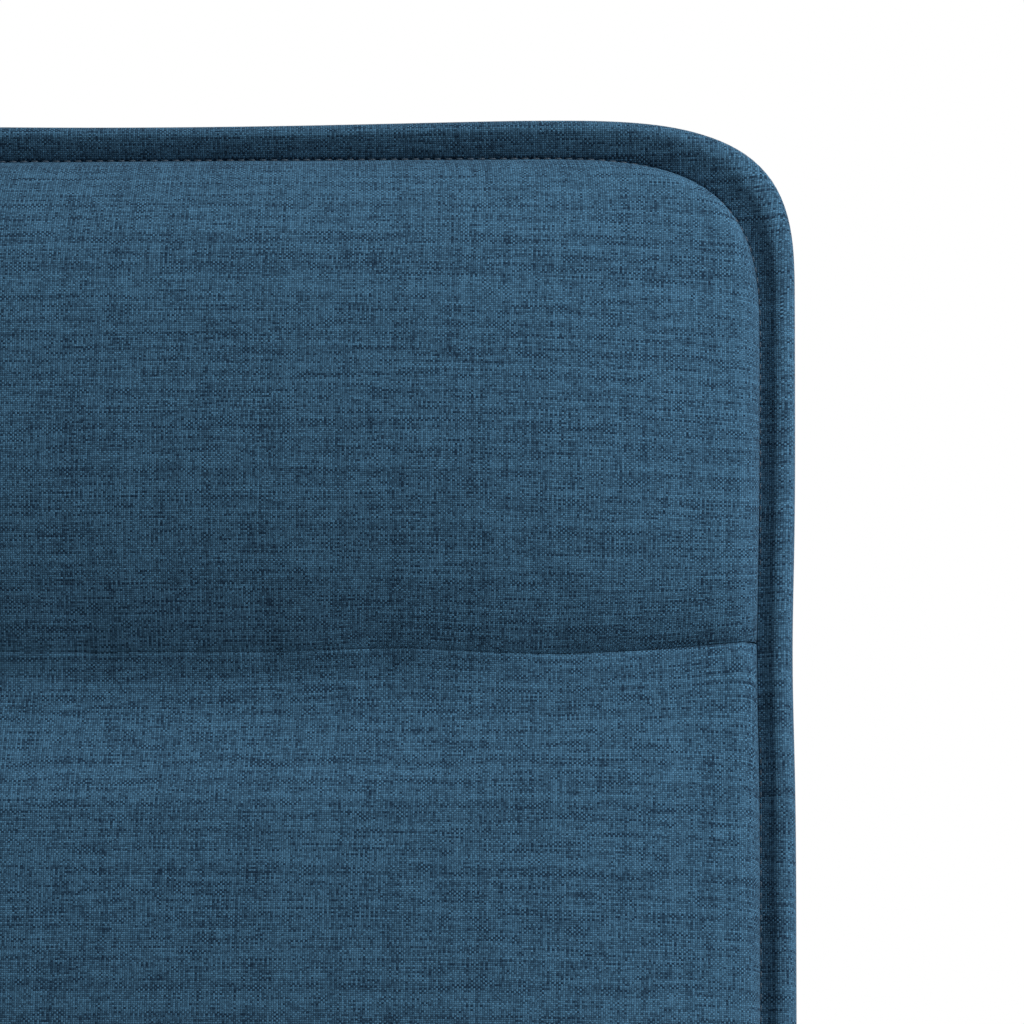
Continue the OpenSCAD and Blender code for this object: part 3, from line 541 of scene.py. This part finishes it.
def swept(name, outer, inner, profile, level, place, body, slot, warp=None):
    """A closed roll round an outline: profile on its upright sides, level on its top and foot.

    Both are closed lists of (t, out), of one length: t is 0 at the outer outline, 1 at the inner.
    """
    nx = max(8, round(2 * outer.half / ROLL_CELL))
    ny = max(8, round((outer.high - outer.low) / ROLL_CELL))
    rim, step = outer.loop(nx, ny), inner.loop(nx, ny) - outer.loop(nx, ny)
    width = outer.half - inner.half
    edge = len(rim)
    ahead = np.roll(rim, -1, 0) - np.roll(rim, 1, 0)
    upright = np.abs(ahead[:, 1]) / np.linalg.norm(ahead, axis=1)
    # The weave runs straight across the front, and on over the crest and down the sides.
    crest = int(np.argmax([out for _, out in profile]))
    inward = step / np.linalg.norm(step, axis=1)[:, None]
    verts, fabric = [], []
    travelled = 0.0
    for k, (side_point, level_point) in enumerate(zip(profile, level)):
        t, out = (upright * a + (1 - upright) * b for a, b in zip(side_point, level_point))
        flat = rim + step * t[:, None]
        if k > crest:
            here, before = ((at * width, out) for at, out in (side_point, profile[k - 1]))
            travelled += math.dist(before, here)
        fabric.append(fabric[crest] - inward * travelled if k > crest else flat)
        verts.append(np.column_stack([flat, out]))
    n = len(profile)
    faces = [
        (j * edge + k, ((j + 1) % n) * edge + k,
         ((j + 1) % n) * edge + (k + 1) % edge, j * edge + (k + 1) % edge)
        for j in range(n) for k in range(edge)
    ]
    verts = np.vstack(verts)
    if warp is not None:
        verts = warp(verts)
    return make(name, verts, faces, place, body, slot, np.vstack(fabric))


SETTLE_FRAMES = 20


def settle(piece, held, cap, pressure):
    """Cloth simulation: the cover swells over its foam, with its held points fixed.

    Each point's movement is cut back to cap.
    """
    mesh, scene = piece.data, bpy.context.scene
    rest = np.array([v.co for v in mesh.vertices])
    group = piece.vertex_groups.new(name="held")
    group.add([int(i) for i in np.flatnonzero(held)], 1.0, "REPLACE")
    cloth = piece.modifiers.new("cloth", "CLOTH")
    for key, value in {
        "vertex_group_mass": "held",
        "quality": 5,
        "mass": 0.3,
        "tension_stiffness": 20,
        "compression_stiffness": 20,
        "shear_stiffness": 8,
        "bending_stiffness": 0.5,
        "shrink_min": -0.012,  # the cover is cut 1.2 percent larger than its foam
        "use_pressure": True,
        "uniform_pressure_force": pressure,
    }.items():
        setattr(cloth.settings, key, value)
    cloth.settings.effector_weights.gravity = 0
    cloth.collision_settings.use_collision = False
    cloth.point_cache.frame_end = SETTLE_FRAMES
    for frame_number in range(1, SETTLE_FRAMES + 1):
        scene.frame_set(frame_number)
    swollen = piece.evaluated_get(bpy.context.evaluated_depsgraph_get()).data
    moved = np.array([v.co for v in swollen.vertices]) - rest
    size = np.linalg.norm(moved, axis=1)
    moved *= np.minimum(1, cap / np.maximum(size, 1e-9))[:, None]
    mesh.vertices.foreach_set("co", (rest + moved).ravel())
    piece.modifiers.remove(cloth)
    piece.vertex_groups.remove(group)
    scene.frame_set(1)


STITCH_PITCH = 4.4 * MM
STITCH_LENGTH = 3.0 * MM
STITCH_RADIUS = 0.42 * MM
STITCH_RINGS = (  # share of the length, share of the radius, how far it sinks in radii
    (0, 0.45, 0.5), (0.2, 0.95, 0), (0.8, 0.95, 0), (1, 0.45, 0.5),
)
STITCH_SIDES = 6


def stitches(name, loop, out, place, body):
    """A row of short thread stitches along a closed loop, each a slim six-sided spindle."""
    closed = np.vstack([loop, loop[:1]])
    run = np.concatenate([[0], np.cumsum(np.linalg.norm(np.diff(closed, axis=0), axis=1))])
    count, n = int(run[-1] / STITCH_PITCH), STITCH_SIDES
    verts, faces = [], []
    for k in range(count):
        at = run[-1] * k / count
        begin, end = (
            np.array([np.interp((at + d) % run[-1], run, closed[:, c]) for c in (0, 1)])
            for d in (0, STITCH_LENGTH)
        )
        along = (end - begin) / np.linalg.norm(end - begin)
        side = np.array([-along[1], along[0]])
        start = len(verts)
        for share, size, sink in STITCH_RINGS:
            middle = begin + (end - begin) * share
            for a in np.linspace(0, 2 * math.pi, n + 1)[:-1]:
                flat = middle + side * STITCH_RADIUS * size * math.cos(a)
                verts.append((*flat, out + STITCH_RADIUS * (size * math.sin(a) - sink)))
        last = start + n * (len(STITCH_RINGS) - 1)
        faces += [
            (a + q, a + (q + 1) % n, a + n + (q + 1) % n, a + n + q)
            for a in range(start, last, n) for q in range(n)
        ]
        faces += [tuple(range(start, start + n))[::-1], tuple(range(last, last + n))]
    return make(name, verts, faces, place, body, "blue_thread")


# ---- Back ----------------------------------------------------------------------------------------


def rise(distance, reach, power):
    """From 0 at an edge to 1 at reach from it, steepest at the edge."""
    return 1 - (1 - np.clip(distance / reach, 0, 1)) ** power


def drop(distance, radius):
    """How far a quarter-round edge lies below its top, at a distance in from the edge."""
    over = 1 - np.clip(distance / radius, 0, 1)
    return radius * (1 - np.sqrt(np.maximum(1 - over**2, 0)))


def wave(x, *terms):
    """A smooth wander in x: a sum of sines, each (size, wavelength, phase)."""
    return sum(size * np.sin(2 * math.pi * x / length + phase) for size, length, phase in terms)


PAD_EDGE = 15 * MM      # height of a back pad's edges above its flat base
PAD_CROWN = 32 * MM     # how far its middle stands above its edges
PAD_ROUND = 8 * MM      # radius of its edges
PAD_CORNER = (97 * MM, 77 * MM)
SMALL_CORNER = (0.9 * MM, 0.9 * MM)
SEAM_GAP = 0.06 * MM    # half the gap between two pads that are sewn together
TUCK = [(0.6 * MM, 0.6), (2.2 * MM, 0.25), (3.0 * MM, 0.0)]  # a pad's sides, as in pad
FLATNESS = 3.2          # power of the curve across a pad: high is flat, with steep sides
RIM_WIDTH = 15 * MM     # from the border's outer edge to its crease
STITCH_LINE = 1.2 * MM  # how far the stitches lie outside the crease

# The border's section, as (share of RIM_WIDTH in from the outer edge, mm out from the front): up
# from under the pads, over a flat-topped roll, down the side, and round to the rear.
RIM_UNDER = [(3.2, -3), (1.3, -2), (1.08, 0)]
RIM_SIDE = [(0.97, 5.0), (0.9, 5.2), (0.8, 5.7), (0.7, 6.4), (0.61, 7.2), (0.54, 7.9),
            (0.48, 8.4), (0.4, 8.6), (0.27, 8.2), (0.15, 7.2), (0.06, 5.5), (0.01, 2.8)]
RIM_TOP = [(0.97, 4.2), (0.86, 5.2), (0.72, 6.4), (0.58, 7.5), (0.46, 8.4), (0.37, 9.1),
           (0.29, 9.5), (0.21, 9.4), (0.13, 8.7), (0.07, 7.3), (0.03, 5.3), (0.01, 2.8)]
RIM_OUTSIDE = [(0, 0), (0.03, -9), (0.12, -24), (0.2, -38), (0.22, -40.5), (0.3, -41.5),
               (0.23, -42.5), (0.25, -48), (0.34, -55), (0.5, -59), (0.75, -61), (1.1, -61.5),
               (3.2, -58)]


def back_outline():
    low, high = box_in("back_rim", BACK_FRONT)
    top, crease = high[1] + 1.6 * MM, high[1] - RIM_WIDTH - 0.8 * MM
    outer = Outline(high[0], low[1], top, (110 * MM, 78 * MM), (44 * MM, 44 * MM), 3.5)
    inner = Outline(
        high[0] - RIM_WIDTH, low[1] + RIM_WIDTH, crease, PAD_CORNER, (31 * MM, 31 * MM), FLATNESS
    )
    return outer, inner, high[2]


def bell(distance, reach):
    """1 at no distance, falling smoothly to almost 0 at twice the reach."""
    return np.exp(-((distance / reach) ** 2))


def seam_rise(x):
    """The seam under the headrest climbs a little at its two ends, and wanders on the way."""
    ends = 6.5 * MM * np.clip((np.abs(x) - 0.15) / 0.09, 0, 1) ** 1.6
    return ends + 1.6 * MM * bell(np.abs(x) - 0.1, 0.03)


def make_back():
    outer, inner, front = back_outline()
    side, level = (
        [(at, front + out * MM) for at, out in RIM_UNDER + roll + RIM_OUTSIDE]
        for roll in (RIM_SIDE, RIM_TOP)
    )
    rim = swept(
        "back_rim_cover", outer, inner, side, level, BACK_FRONT, "back", "blue_linen_rim",
        warp=rim_shape,
    )
    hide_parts("back_rim")
    stitch = inner.inset(-STITCH_LINE).loop(240, 380)
    stitches("back_rim_stitches", stitch, front + 5.0 * MM, BACK_FRONT, "back")

    low, high = box_in("headrest_pad", BACK_FRONT)
    lumbar_low, lumbar_high = box_in("lumbar_pad", BACK_FRONT)
    half, top, foot = high[0] + 0.9 * MM, high[1] - 0.8 * MM, lumbar_low[1]
    upper, lower = low[1] - 1.5 * MM, lumbar_high[1] + 1.5 * MM  # the two seams
    face = Outline(half, foot, top, PAD_CORNER, (34 * MM, 34 * MM), FLATNESS)
    lift = BACK_FRONT @ Matrix.Translation((0, 0, low[2]))

    def ends(x):
        """0 over the middle of the back and 1 near its two sides, where the seams lie crisp."""
        return np.clip((np.abs(x) - 0.11) / 0.09, 0, 1)

    def crowned(x, y, along):
        """Front of a pad from its height along the back, 0 to 1, falling to edges at its sides."""
        across = 1 - np.clip(np.abs(x) / half, 0, 1) ** FLATNESS
        h = PAD_EDGE + PAD_CROWN * across * along
        creases = wave(x, (0.35, 0.061, 0.4), (0.25, 0.037, 2.1), (0.2, 0.023, 4.0)) * MM
        for seam in (upper, lower):
            away = np.abs(y - seam)
            h = h - 3.6 * MM * ends(x) * np.exp(-away / 0.007) - 0.5 * MM * np.exp(-away / 0.0015)
            h = h + creases * across * np.exp(-away / 0.02)
        return h - drop(face.inside(x, y), PAD_ROUND)

    def valley(x, y, seam, reach):
        """Share of the crown near a seam. Over the middle, the lowest line is below the seam."""
        lowest, knee = 0.24, 0.52  # shares at the lowest line, and gained by 50 mm below it
        middle = 1 - ends(x)
        up = y - (seam - 11 * MM * middle)
        soft = 5 * MM * middle + 0.5 * MM
        away = np.hypot(up, soft) - soft
        t = np.clip(away / 0.05, 0, 1)
        rest = 1 - lowest - knee
        below = lowest + knee * t * t * (3 - 2 * t) + rest * rise(away - 0.03, 0.1, 2)
        return np.where(up > 0, lowest + (1 - lowest) * rise(away, reach, 2), below)

    def warp(verts):
        """Moves the points near the headrest's seam onto its wandering line."""
        x, y, out = verts.T
        return waist(np.column_stack([x, y + seam_rise(x) * bell(y - upper, 0.03), out]))

    span = top - upper

    def headrest(x, y):
        return crowned(x, y, rise(top - y, 0.45 * span, 3.0) * valley(x, y, upper, span / 2))

    def upper_back(x, y):
        return crowned(x, y, valley(x, y, upper, 0.1) * valley(x, y, lower, 0.1))

    def lumbar(x, y):
        return crowned(x, y, valley(x, y, lower, 0.1) * rise(y - foot, 0.11, 2))

    gap, small = SEAM_GAP, SMALL_CORNER
    for node, height, shape in (
        ("headrest_pad", headrest, Outline(half, upper + gap, top, face.top, small, FLATNESS)),
        ("upper_back_pad", upper_back, Outline(half, lower + gap, upper - gap, small, small)),
        ("lumbar_pad", lumbar, Outline(half, foot, lower - gap, small, face.foot)),
    ):
        piece = pad(node + "_cover", shape, height, TUCK, lift, "back", "blue_linen", warp=warp)
        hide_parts(node)

    low, high = box_in("back_panel", BACK_REAR)
    panel = Outline(high[0], low[1], high[1], (106 * MM, 76 * MM), (40 * MM, 40 * MM), 3.5)

    def slight(x, y):
        bulge = rise(panel.inside(x, y), 0.16, 2.0)
        return high[2] - low[2] + 4 * MM * bulge - drop(panel.inside(x, y), 3 * MM)

    lift = BACK_REAR @ Matrix.Translation((0, 0, low[2]))
    piece = pad(
        "back_panel_cover", panel, slight, [(0, 0.4), (0.5 * MM, 0)], lift, "back",
        "blue_linen_rim", cell=7 * MM, rings=(24, 14, 8, 5, 3, 2, 1.2, 0.5, 0.1, 0),
    )
    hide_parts("back_panel")


def rim_shape(verts):
    """The border's top edge dips a little between its corners, away from the crease."""
    x, y, out = verts.T
    top = box_in("back_rim", BACK_FRONT)[1][1]
    middle, near_edge = 1 - (x / 0.15) ** 2, 1 - (top - y) / RIM_WIDTH
    dip = 1.8 * MM * np.clip(middle, 0, 1) ** 1.5 * np.clip(near_edge, 0, 1)
    return waist(np.column_stack([x, y - dip, out]))


def waist(verts):
    """The back is drawn in a little at the headrest's seam."""
    x, y, out = verts.T
    seam = box_in("headrest_pad", BACK_FRONT)[0][1]
    drawn_in, half_back = 1.2 * MM, 0.256
    return np.column_stack([x * (1 - drawn_in * bell(y - seam, 0.045) / half_back), y, out])


# ---- Seat ----------------------------------------------------------------------------------------


SEAT_RIM_WIDTH = 16 * MM
# The seat border's section, as RIM_SIDE: over the roll, down the side, and under to the board.
SEAT_ROLL = [(2.6, -12), (1.3, -2), (1.06, 0.4), (0.95, 1), (0.84, 2.4), (0.72, 5), (0.62, 7.6),
             (0.5, 9), (0.36, 9.4), (0.22, 8.8), (0.1, 6.4), (0.03, 2.4), (0, -4), (-0.05, -20)]
SEAT_FOOT = [(-0.03, 24), (0, 21), (0.06, 20), (0, 19), (0, 12), (0.08, 5), (0.22, 1.2),
             (0.42, 0), (0.72, 0), (0.74, 13), (2.6, 13.5)]
SEAT_EDGE = 19 * MM     # height of the seat pad's edge above its flat base
SEAT_CROWN = 25 * MM    # how far its middle stands above its edge, before it is settled
SEAT_DENT = 4 * MM      # depth of the two shallow dents where a person sits
SEAT_CORNERS = (48 * MM, 48 * MM), (50 * MM, 50 * MM)


def make_seat():
    low, high = box_in("seat_rim", LEVEL)
    outer = Outline(high[0], low[1], high[1], (62 * MM, 62 * MM), (62 * MM, 62 * MM))
    edge = SEAT_RIM_WIDTH
    inner = Outline(high[0] - edge, low[1] + edge, high[1] - edge, *SEAT_CORNERS)
    top, bottom = high[2], low[2]
    profile = [(at, top + out * MM) for at, out in SEAT_ROLL]
    profile.append((-0.06, (top + bottom) / 2))
    profile += [(at, bottom + out * MM) for at, out in SEAT_FOOT]
    rim = swept("seat_rim_cover", outer, inner, profile, profile, LEVEL, "seat", "blue_linen_rim")
    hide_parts("seat_rim")
    stitch = inner.inset(-STITCH_LINE).loop(260, 240)
    stitches("seat_rim_stitches", stitch, top + 1.8 * MM, LEVEL, "seat")

    low, high = box_in("seat_pad", LEVEL)
    half, depth = high[0], high[1] - low[1]
    shape = Outline(half, low[1], high[1], *SEAT_CORNERS)

    def front(x, y):
        across = 1 - np.clip(np.abs(x) / half, 0, 1) ** FLATNESS
        along = rise(high[1] - y, 0.12, 2.2) * rise(y - low[1], 0.14, 2.0)
        dents = bell(np.abs(x) - 0.1, 0.075) * bell(y - low[1] - 0.6 * depth, 0.12)
        h = SEAT_EDGE + SEAT_CROWN * across * along - SEAT_DENT * dents
        return h - drop(shape.inside(x, y), 12 * MM)

    lift = Matrix.Translation((0, 0, low[2]))
    piece = pad("seat_pad_cover", shape, front, TUCK, lift, "seat", "blue_linen")
    x, y, z = np.array([v.co for v in piece.data.vertices]).T
    at_edge, under = shape.inside(x, y) < 2.5 * MM, z < low[2] + 1 * MM
    settle(piece, at_edge | under, cap=9 * MM, pressure=1.8)
    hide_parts("seat_pad")


DUST_CORNER = 44 * MM
DUST_CELL = 9 * MM
PAST = 1.0  # a cut with this limit runs off the cloth's edge
DUST_CUTS = (  # low x, high x, low y, high y, the same on both sides
    (0, 104 * MM, -179 * MM, 99 * MM),      # round the seat plate
    (140 * MM, PAST, -75 * MM, -19 * MM),   # round the arm bracket
    (170 * MM, PAST, 106 * MM, PAST),       # round the hinge plate
)


def make_dust_cover():
    """The thin cloth under the seat: a flat cut with rounded front corners, stapled flat."""
    low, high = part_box("seat_dust_cover")
    half = high.x

    def lines(marks):
        """Coordinates that run through all the marks, in steps of about a cell."""
        steps = [
            np.linspace(a, b, max(1, round((b - a) / DUST_CELL)), endpoint=False)
            for a, b in zip(marks, marks[1:])
        ]
        return np.concatenate([*steps, [marks[-1]]])

    cuts_x, cuts_y = (
        sorted({limit for cut in DUST_CUTS for limit in cut[k:k + 2]} - {PAST}) for k in (0, 2)
    )
    side = lines([*cuts_x, half - DUST_CORNER, half])
    xs = np.concatenate([-side[:0:-1], side])
    ys = lines([low.y, low.y + DUST_CORNER, *cuts_y, high.y])
    x, y = (c.ravel() for c in np.meshgrid(xs, ys, indexing="ij"))
    # The square of cells at each front corner is drawn in to a quarter circle.
    u = np.clip(np.abs(x) - half + DUST_CORNER, 0, None) / DUST_CORNER
    v = np.clip(low.y + DUST_CORNER - y, 0, None) / DUST_CORNER
    round_x = x - np.sign(x) * DUST_CORNER * u * (1 - np.sqrt(1 - v**2 / 2))
    round_y = y + DUST_CORNER * v * (1 - np.sqrt(1 - u**2 / 2))
    sag = wave(x, (0.5, 0.083, 0.3), (0.3, 0.047, 1.1)) * wave(y, (1.0, 0.09, 2.0)) + 0.6
    from_edge = np.minimum(half - np.abs(x), np.minimum(y - low.y, high.y - y))
    z = (low.z + high.z) / 2 - sag * MM * np.clip(from_edge / 0.03, 0, 1)

    def kept(a, b):
        cx, cy = abs(xs[a] + xs[a + 1]) / 2, (ys[b] + ys[b + 1]) / 2
        return not any(x0 < cx < x1 and y0 < cy < y1 for x0, x1, y0, y1 in DUST_CUTS)

    n = len(ys)
    faces = [
        (a * n + b, (a + 1) * n + b, (a + 1) * n + b + 1, a * n + b + 1)
        for a in range(len(xs) - 1) for b in range(n - 1) if kept(a, b)
    ]
    used = sorted({k for face in faces for k in face})
    index = {k: i for i, k in enumerate(used)}
    verts = np.column_stack([round_x, round_y, z])[used]
    faces = [tuple(index[k] for k in face) for face in faces]
    piece = make("dust_cover_cloth", verts, faces, LEVEL, "seat", "dust_cloth")
    thick = piece.modifiers.new("cloth", "SOLIDIFY")
    thick.thickness = 0.4 * MM
    thick.offset = 0
    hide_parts("seat_dust_cover")
    cut = sum(2 * (min(x1, half) - x0) * (min(y1, high.y) - y0) for x0, x1, y0, y1 in DUST_CUTS)
    cut += 2 * (1 - math.pi / 4) * DUST_CORNER**2


# ---- Tilt spring ---------------------------------------------------------------------------------

SPRING_TURNS = 5
SPRING_WIRE = 2.2 * MM   # radius of the wire


def make_tilt_spring():
    """The coil between the housing and the tension knob, built at one length; it does not shorten as the seat
    tilts back.
    """
    low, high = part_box("tension_spring")
    radius = (high.x - low.x) / 2 - SPRING_WIRE
    x, y = (low.x + high.x) / 2, (low.y + high.y) / 2
    start, end = low.z + SPRING_WIRE, high.z - SPRING_WIRE
    around, steps = 12, 40 * SPRING_TURNS
    verts = []
    for k in range(steps + 1):
        a = 2 * math.pi * SPRING_TURNS * k / steps
        for b in np.linspace(0, 2 * math.pi, around + 1)[:-1]:
            r = radius + SPRING_WIRE * math.cos(b)
            z = start + (end - start) * k / steps + SPRING_WIRE * math.sin(b)
            verts.append((x + r * math.cos(a), y + r * math.sin(a), z))
    faces = [
        (k * around + b, k * around + (b + 1) % around,
         (k + 1) * around + (b + 1) % around, (k + 1) * around + b)
        for k in range(steps) for b in range(around)
    ]
    faces += [tuple(range(around))[::-1], tuple(range(steps * around, (steps + 1) * around))]
    faces = [face[::-1] for face in faces]
    piece = make("tension_spring_coil", verts, faces, LEVEL, "lift", "spring_steel")
    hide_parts("tension_spring")
    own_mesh(piece)


# ---- Armrests ------------------------------------------------------------------------------------


ARM_DISH = 1.6 * MM
ARM_SIDES = [(0.2 * MM, 0.5), (1.6 * MM, 0.12), (3.5 * MM, 0)]
ARM_RINGS = (14, 11, 8.6, 6.4, 4.6, 3, 1.8, 0.9, 0.3, 0)


def make_arm_pads():
    for side in ("left", "right"):
        node = f"arm_pad_{side}"
        low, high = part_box(node)
        half = (high.x - low.x) / 2
        shape = Outline(half, low.y, high.y, (36 * MM, 40 * MM), (38 * MM, 44 * MM), 2.3)

        def dished(px, py, half=half, shape=shape, thick=high.z - low.z):
            lip = ARM_DISH * np.clip(np.abs(px) / half, 0, 1) ** 2
            return thick - ARM_DISH + lip - drop(shape.inside(px, py), 11 * MM)

        lift = Matrix.Translation(((low.x + high.x) / 2, 0, low.z))
        piece = pad(
            node + "_skin", shape, dished, ARM_SIDES, lift, f"arm_{side}", "arm_pad_pu",
            rings=ARM_RINGS,
        )
        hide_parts(node)


# ---- CAD nodes that show -------------------------------------------------------------------------

SOFTENED = {  # radius in mm of each node's edges
    "base_star": 1.6, "arm_sleeves": 1.6, "arm_post_left": 1.2, "arm_post_right": 1.2,
    "hinge_covers": 1.8, "recline_lever": 2.0, "height_lever": 1.4, "tension_knob": 1.5,
    "mech_housing": 0.8, "seat_plate": 0.6, "arm_brackets": 0.8, "hinge_plates": 0.8,
    "back_brackets": 0.8, "cover_lower": 0.7, "cover_middle": 0.7, "cover_upper": 0.7,
    "arm_button_left": 0.9, "arm_button_right": 0.9,
    **{f"caster_hood_{i}": 0.8 for i in range(1, 6)},
    **{f"caster_wheels_{i}": 0.5 for i in range(1, 6)},
}


def dress_frame():
    """Gives each CAD node its material, and rounds the edges of those that show."""
    for node, piece in frame["nodes"].items():
        piece.data.materials.clear()
        piece.data.materials.append(MATERIALS[SLOTS[node]])
        if node not in SOFTENED:
            continue
        weld = piece.modifiers.new("weld", "WELD")
        weld.merge_threshold = 0.01 * MM
        flat = piece.modifiers.new("flat", "DECIMATE")
        flat.decimate_type = "DISSOLVE"
        flat.angle_limit = math.radians(0.5)
        bevel = piece.modifiers.new("bevel", "BEVEL")
        bevel.width = SOFTENED[node] * MM
        bevel.segments = 3
        bevel.limit_method = "ANGLE"
        bevel.angle_limit = math.radians(40)
        bevel.harden_normals = True


# ---- Stage ---------------------------------------------------------------------------------------


SENSOR = 36          # mm
SEEN = 407 * MM      # height of what the camera sees at its target
FLOOR_RADIUS = 6.0


def make_camera():
    """A long lens that frames the back's top corner from just below its seam's height."""
    distance, yaw = 2.2, math.radians(3)
    high = box_in("back_rim", BACK_FRONT)[1]
    target = BACK_FRONT @ Vector((high[0] - 112.5 * MM, high[1] - 158 * MM, high[2]))
    away = Vector((math.sin(yaw), -math.cos(yaw), -0.05))
    data = bpy.data.cameras.new("camera")
    data.sensor_width = SENSOR
    data.lens = SENSOR * distance / SEEN
    camera = bpy.data.objects.new("camera", data)
    bpy.context.scene.collection.objects.link(camera)
    camera.location = target + away.normalized() * distance
    camera.rotation_euler = (-away).to_track_quat("-Z", "Y").to_euler()
    bpy.context.scene.camera = camera


def area_light(name, location, target, size, power):
    data = bpy.data.lights.new(name, "AREA")
    data.shape = "DISK"
    data.size = size
    data.energy = power
    light = bpy.data.objects.new(name, data)
    bpy.context.scene.collection.objects.link(light)
    light.location = location
    light.rotation_euler = (Vector(target) - Vector(location)).to_track_quat("-Z", "Y").to_euler()


def make_stage():
    scene = bpy.context.scene
    scene.view_settings.view_transform = "Standard"
    world = bpy.data.worlds.new("studio")
    scene.world = world
    world.use_nodes = True
    tree = world.node_tree
    # White where the camera sees it, and faint as a light, so that the three lamps shape the chair.
    background = tree.nodes["Background"]
    path = tree.nodes.new("ShaderNodeLightPath")
    strength = tree.nodes.new("ShaderNodeMapRange")
    strength.inputs["To Min"].default_value = 0.12
    strength.inputs["To Max"].default_value = 1.0
    tree.links.new(path.outputs["Is Camera Ray"], strength.inputs["Value"])
    tree.links.new(strength.outputs[0], background.inputs["Strength"])
    background.inputs["Color"].default_value = (1, 1, 1, 1)

    mesh = bpy.data.meshes.new("floor")
    ring = [
        (FLOOR_RADIUS * math.cos(a), FLOOR_RADIUS * math.sin(a), 0)
        for a in np.linspace(0, 2 * math.pi, 97)[:-1]
    ]
    mesh.from_pydata(ring, [], [tuple(range(len(ring)))])
    floor = bpy.data.objects.new("floor", mesh)
    scene.collection.objects.link(floor)
    s = Shader("floor")
    at = s.object_place()
    away = s.node("ShaderNodeVectorMath", out=1, settings={"operation": "LENGTH"}, Vector=at)
    # Far from the chair the floor glows up to white, as a studio sweep does.
    mesh.materials.append(s.finish(
        Base_Color=s.colour(s.noise(at, 30.0, 4.0), (0.86, 0.86, 0.86), (0.8, 0.8, 0.8)),
        Roughness=0.7,
        Emission_Color=(1, 1, 1),
        Emission_Strength=s.spread(away, 1.6, 5.2, 0.0, 0.9),
    ))

    area_light("key", (2.5, -0.85, 3.8), (0.1, 0.1, 1.0), 0.8, 204)
    area_light("fill", (-2.4, -2.4, 1.4), (0, 0, 0.8), 2.0, 5)
    area_light("rear", (0.6, 2.6, 2.2), (0, 0.2, 0.8), 1.6, 40)


make_back()
make_seat()
make_dust_cover()
make_tilt_spring()
make_arm_pads()
dress_frame()
make_stage()
make_camera()
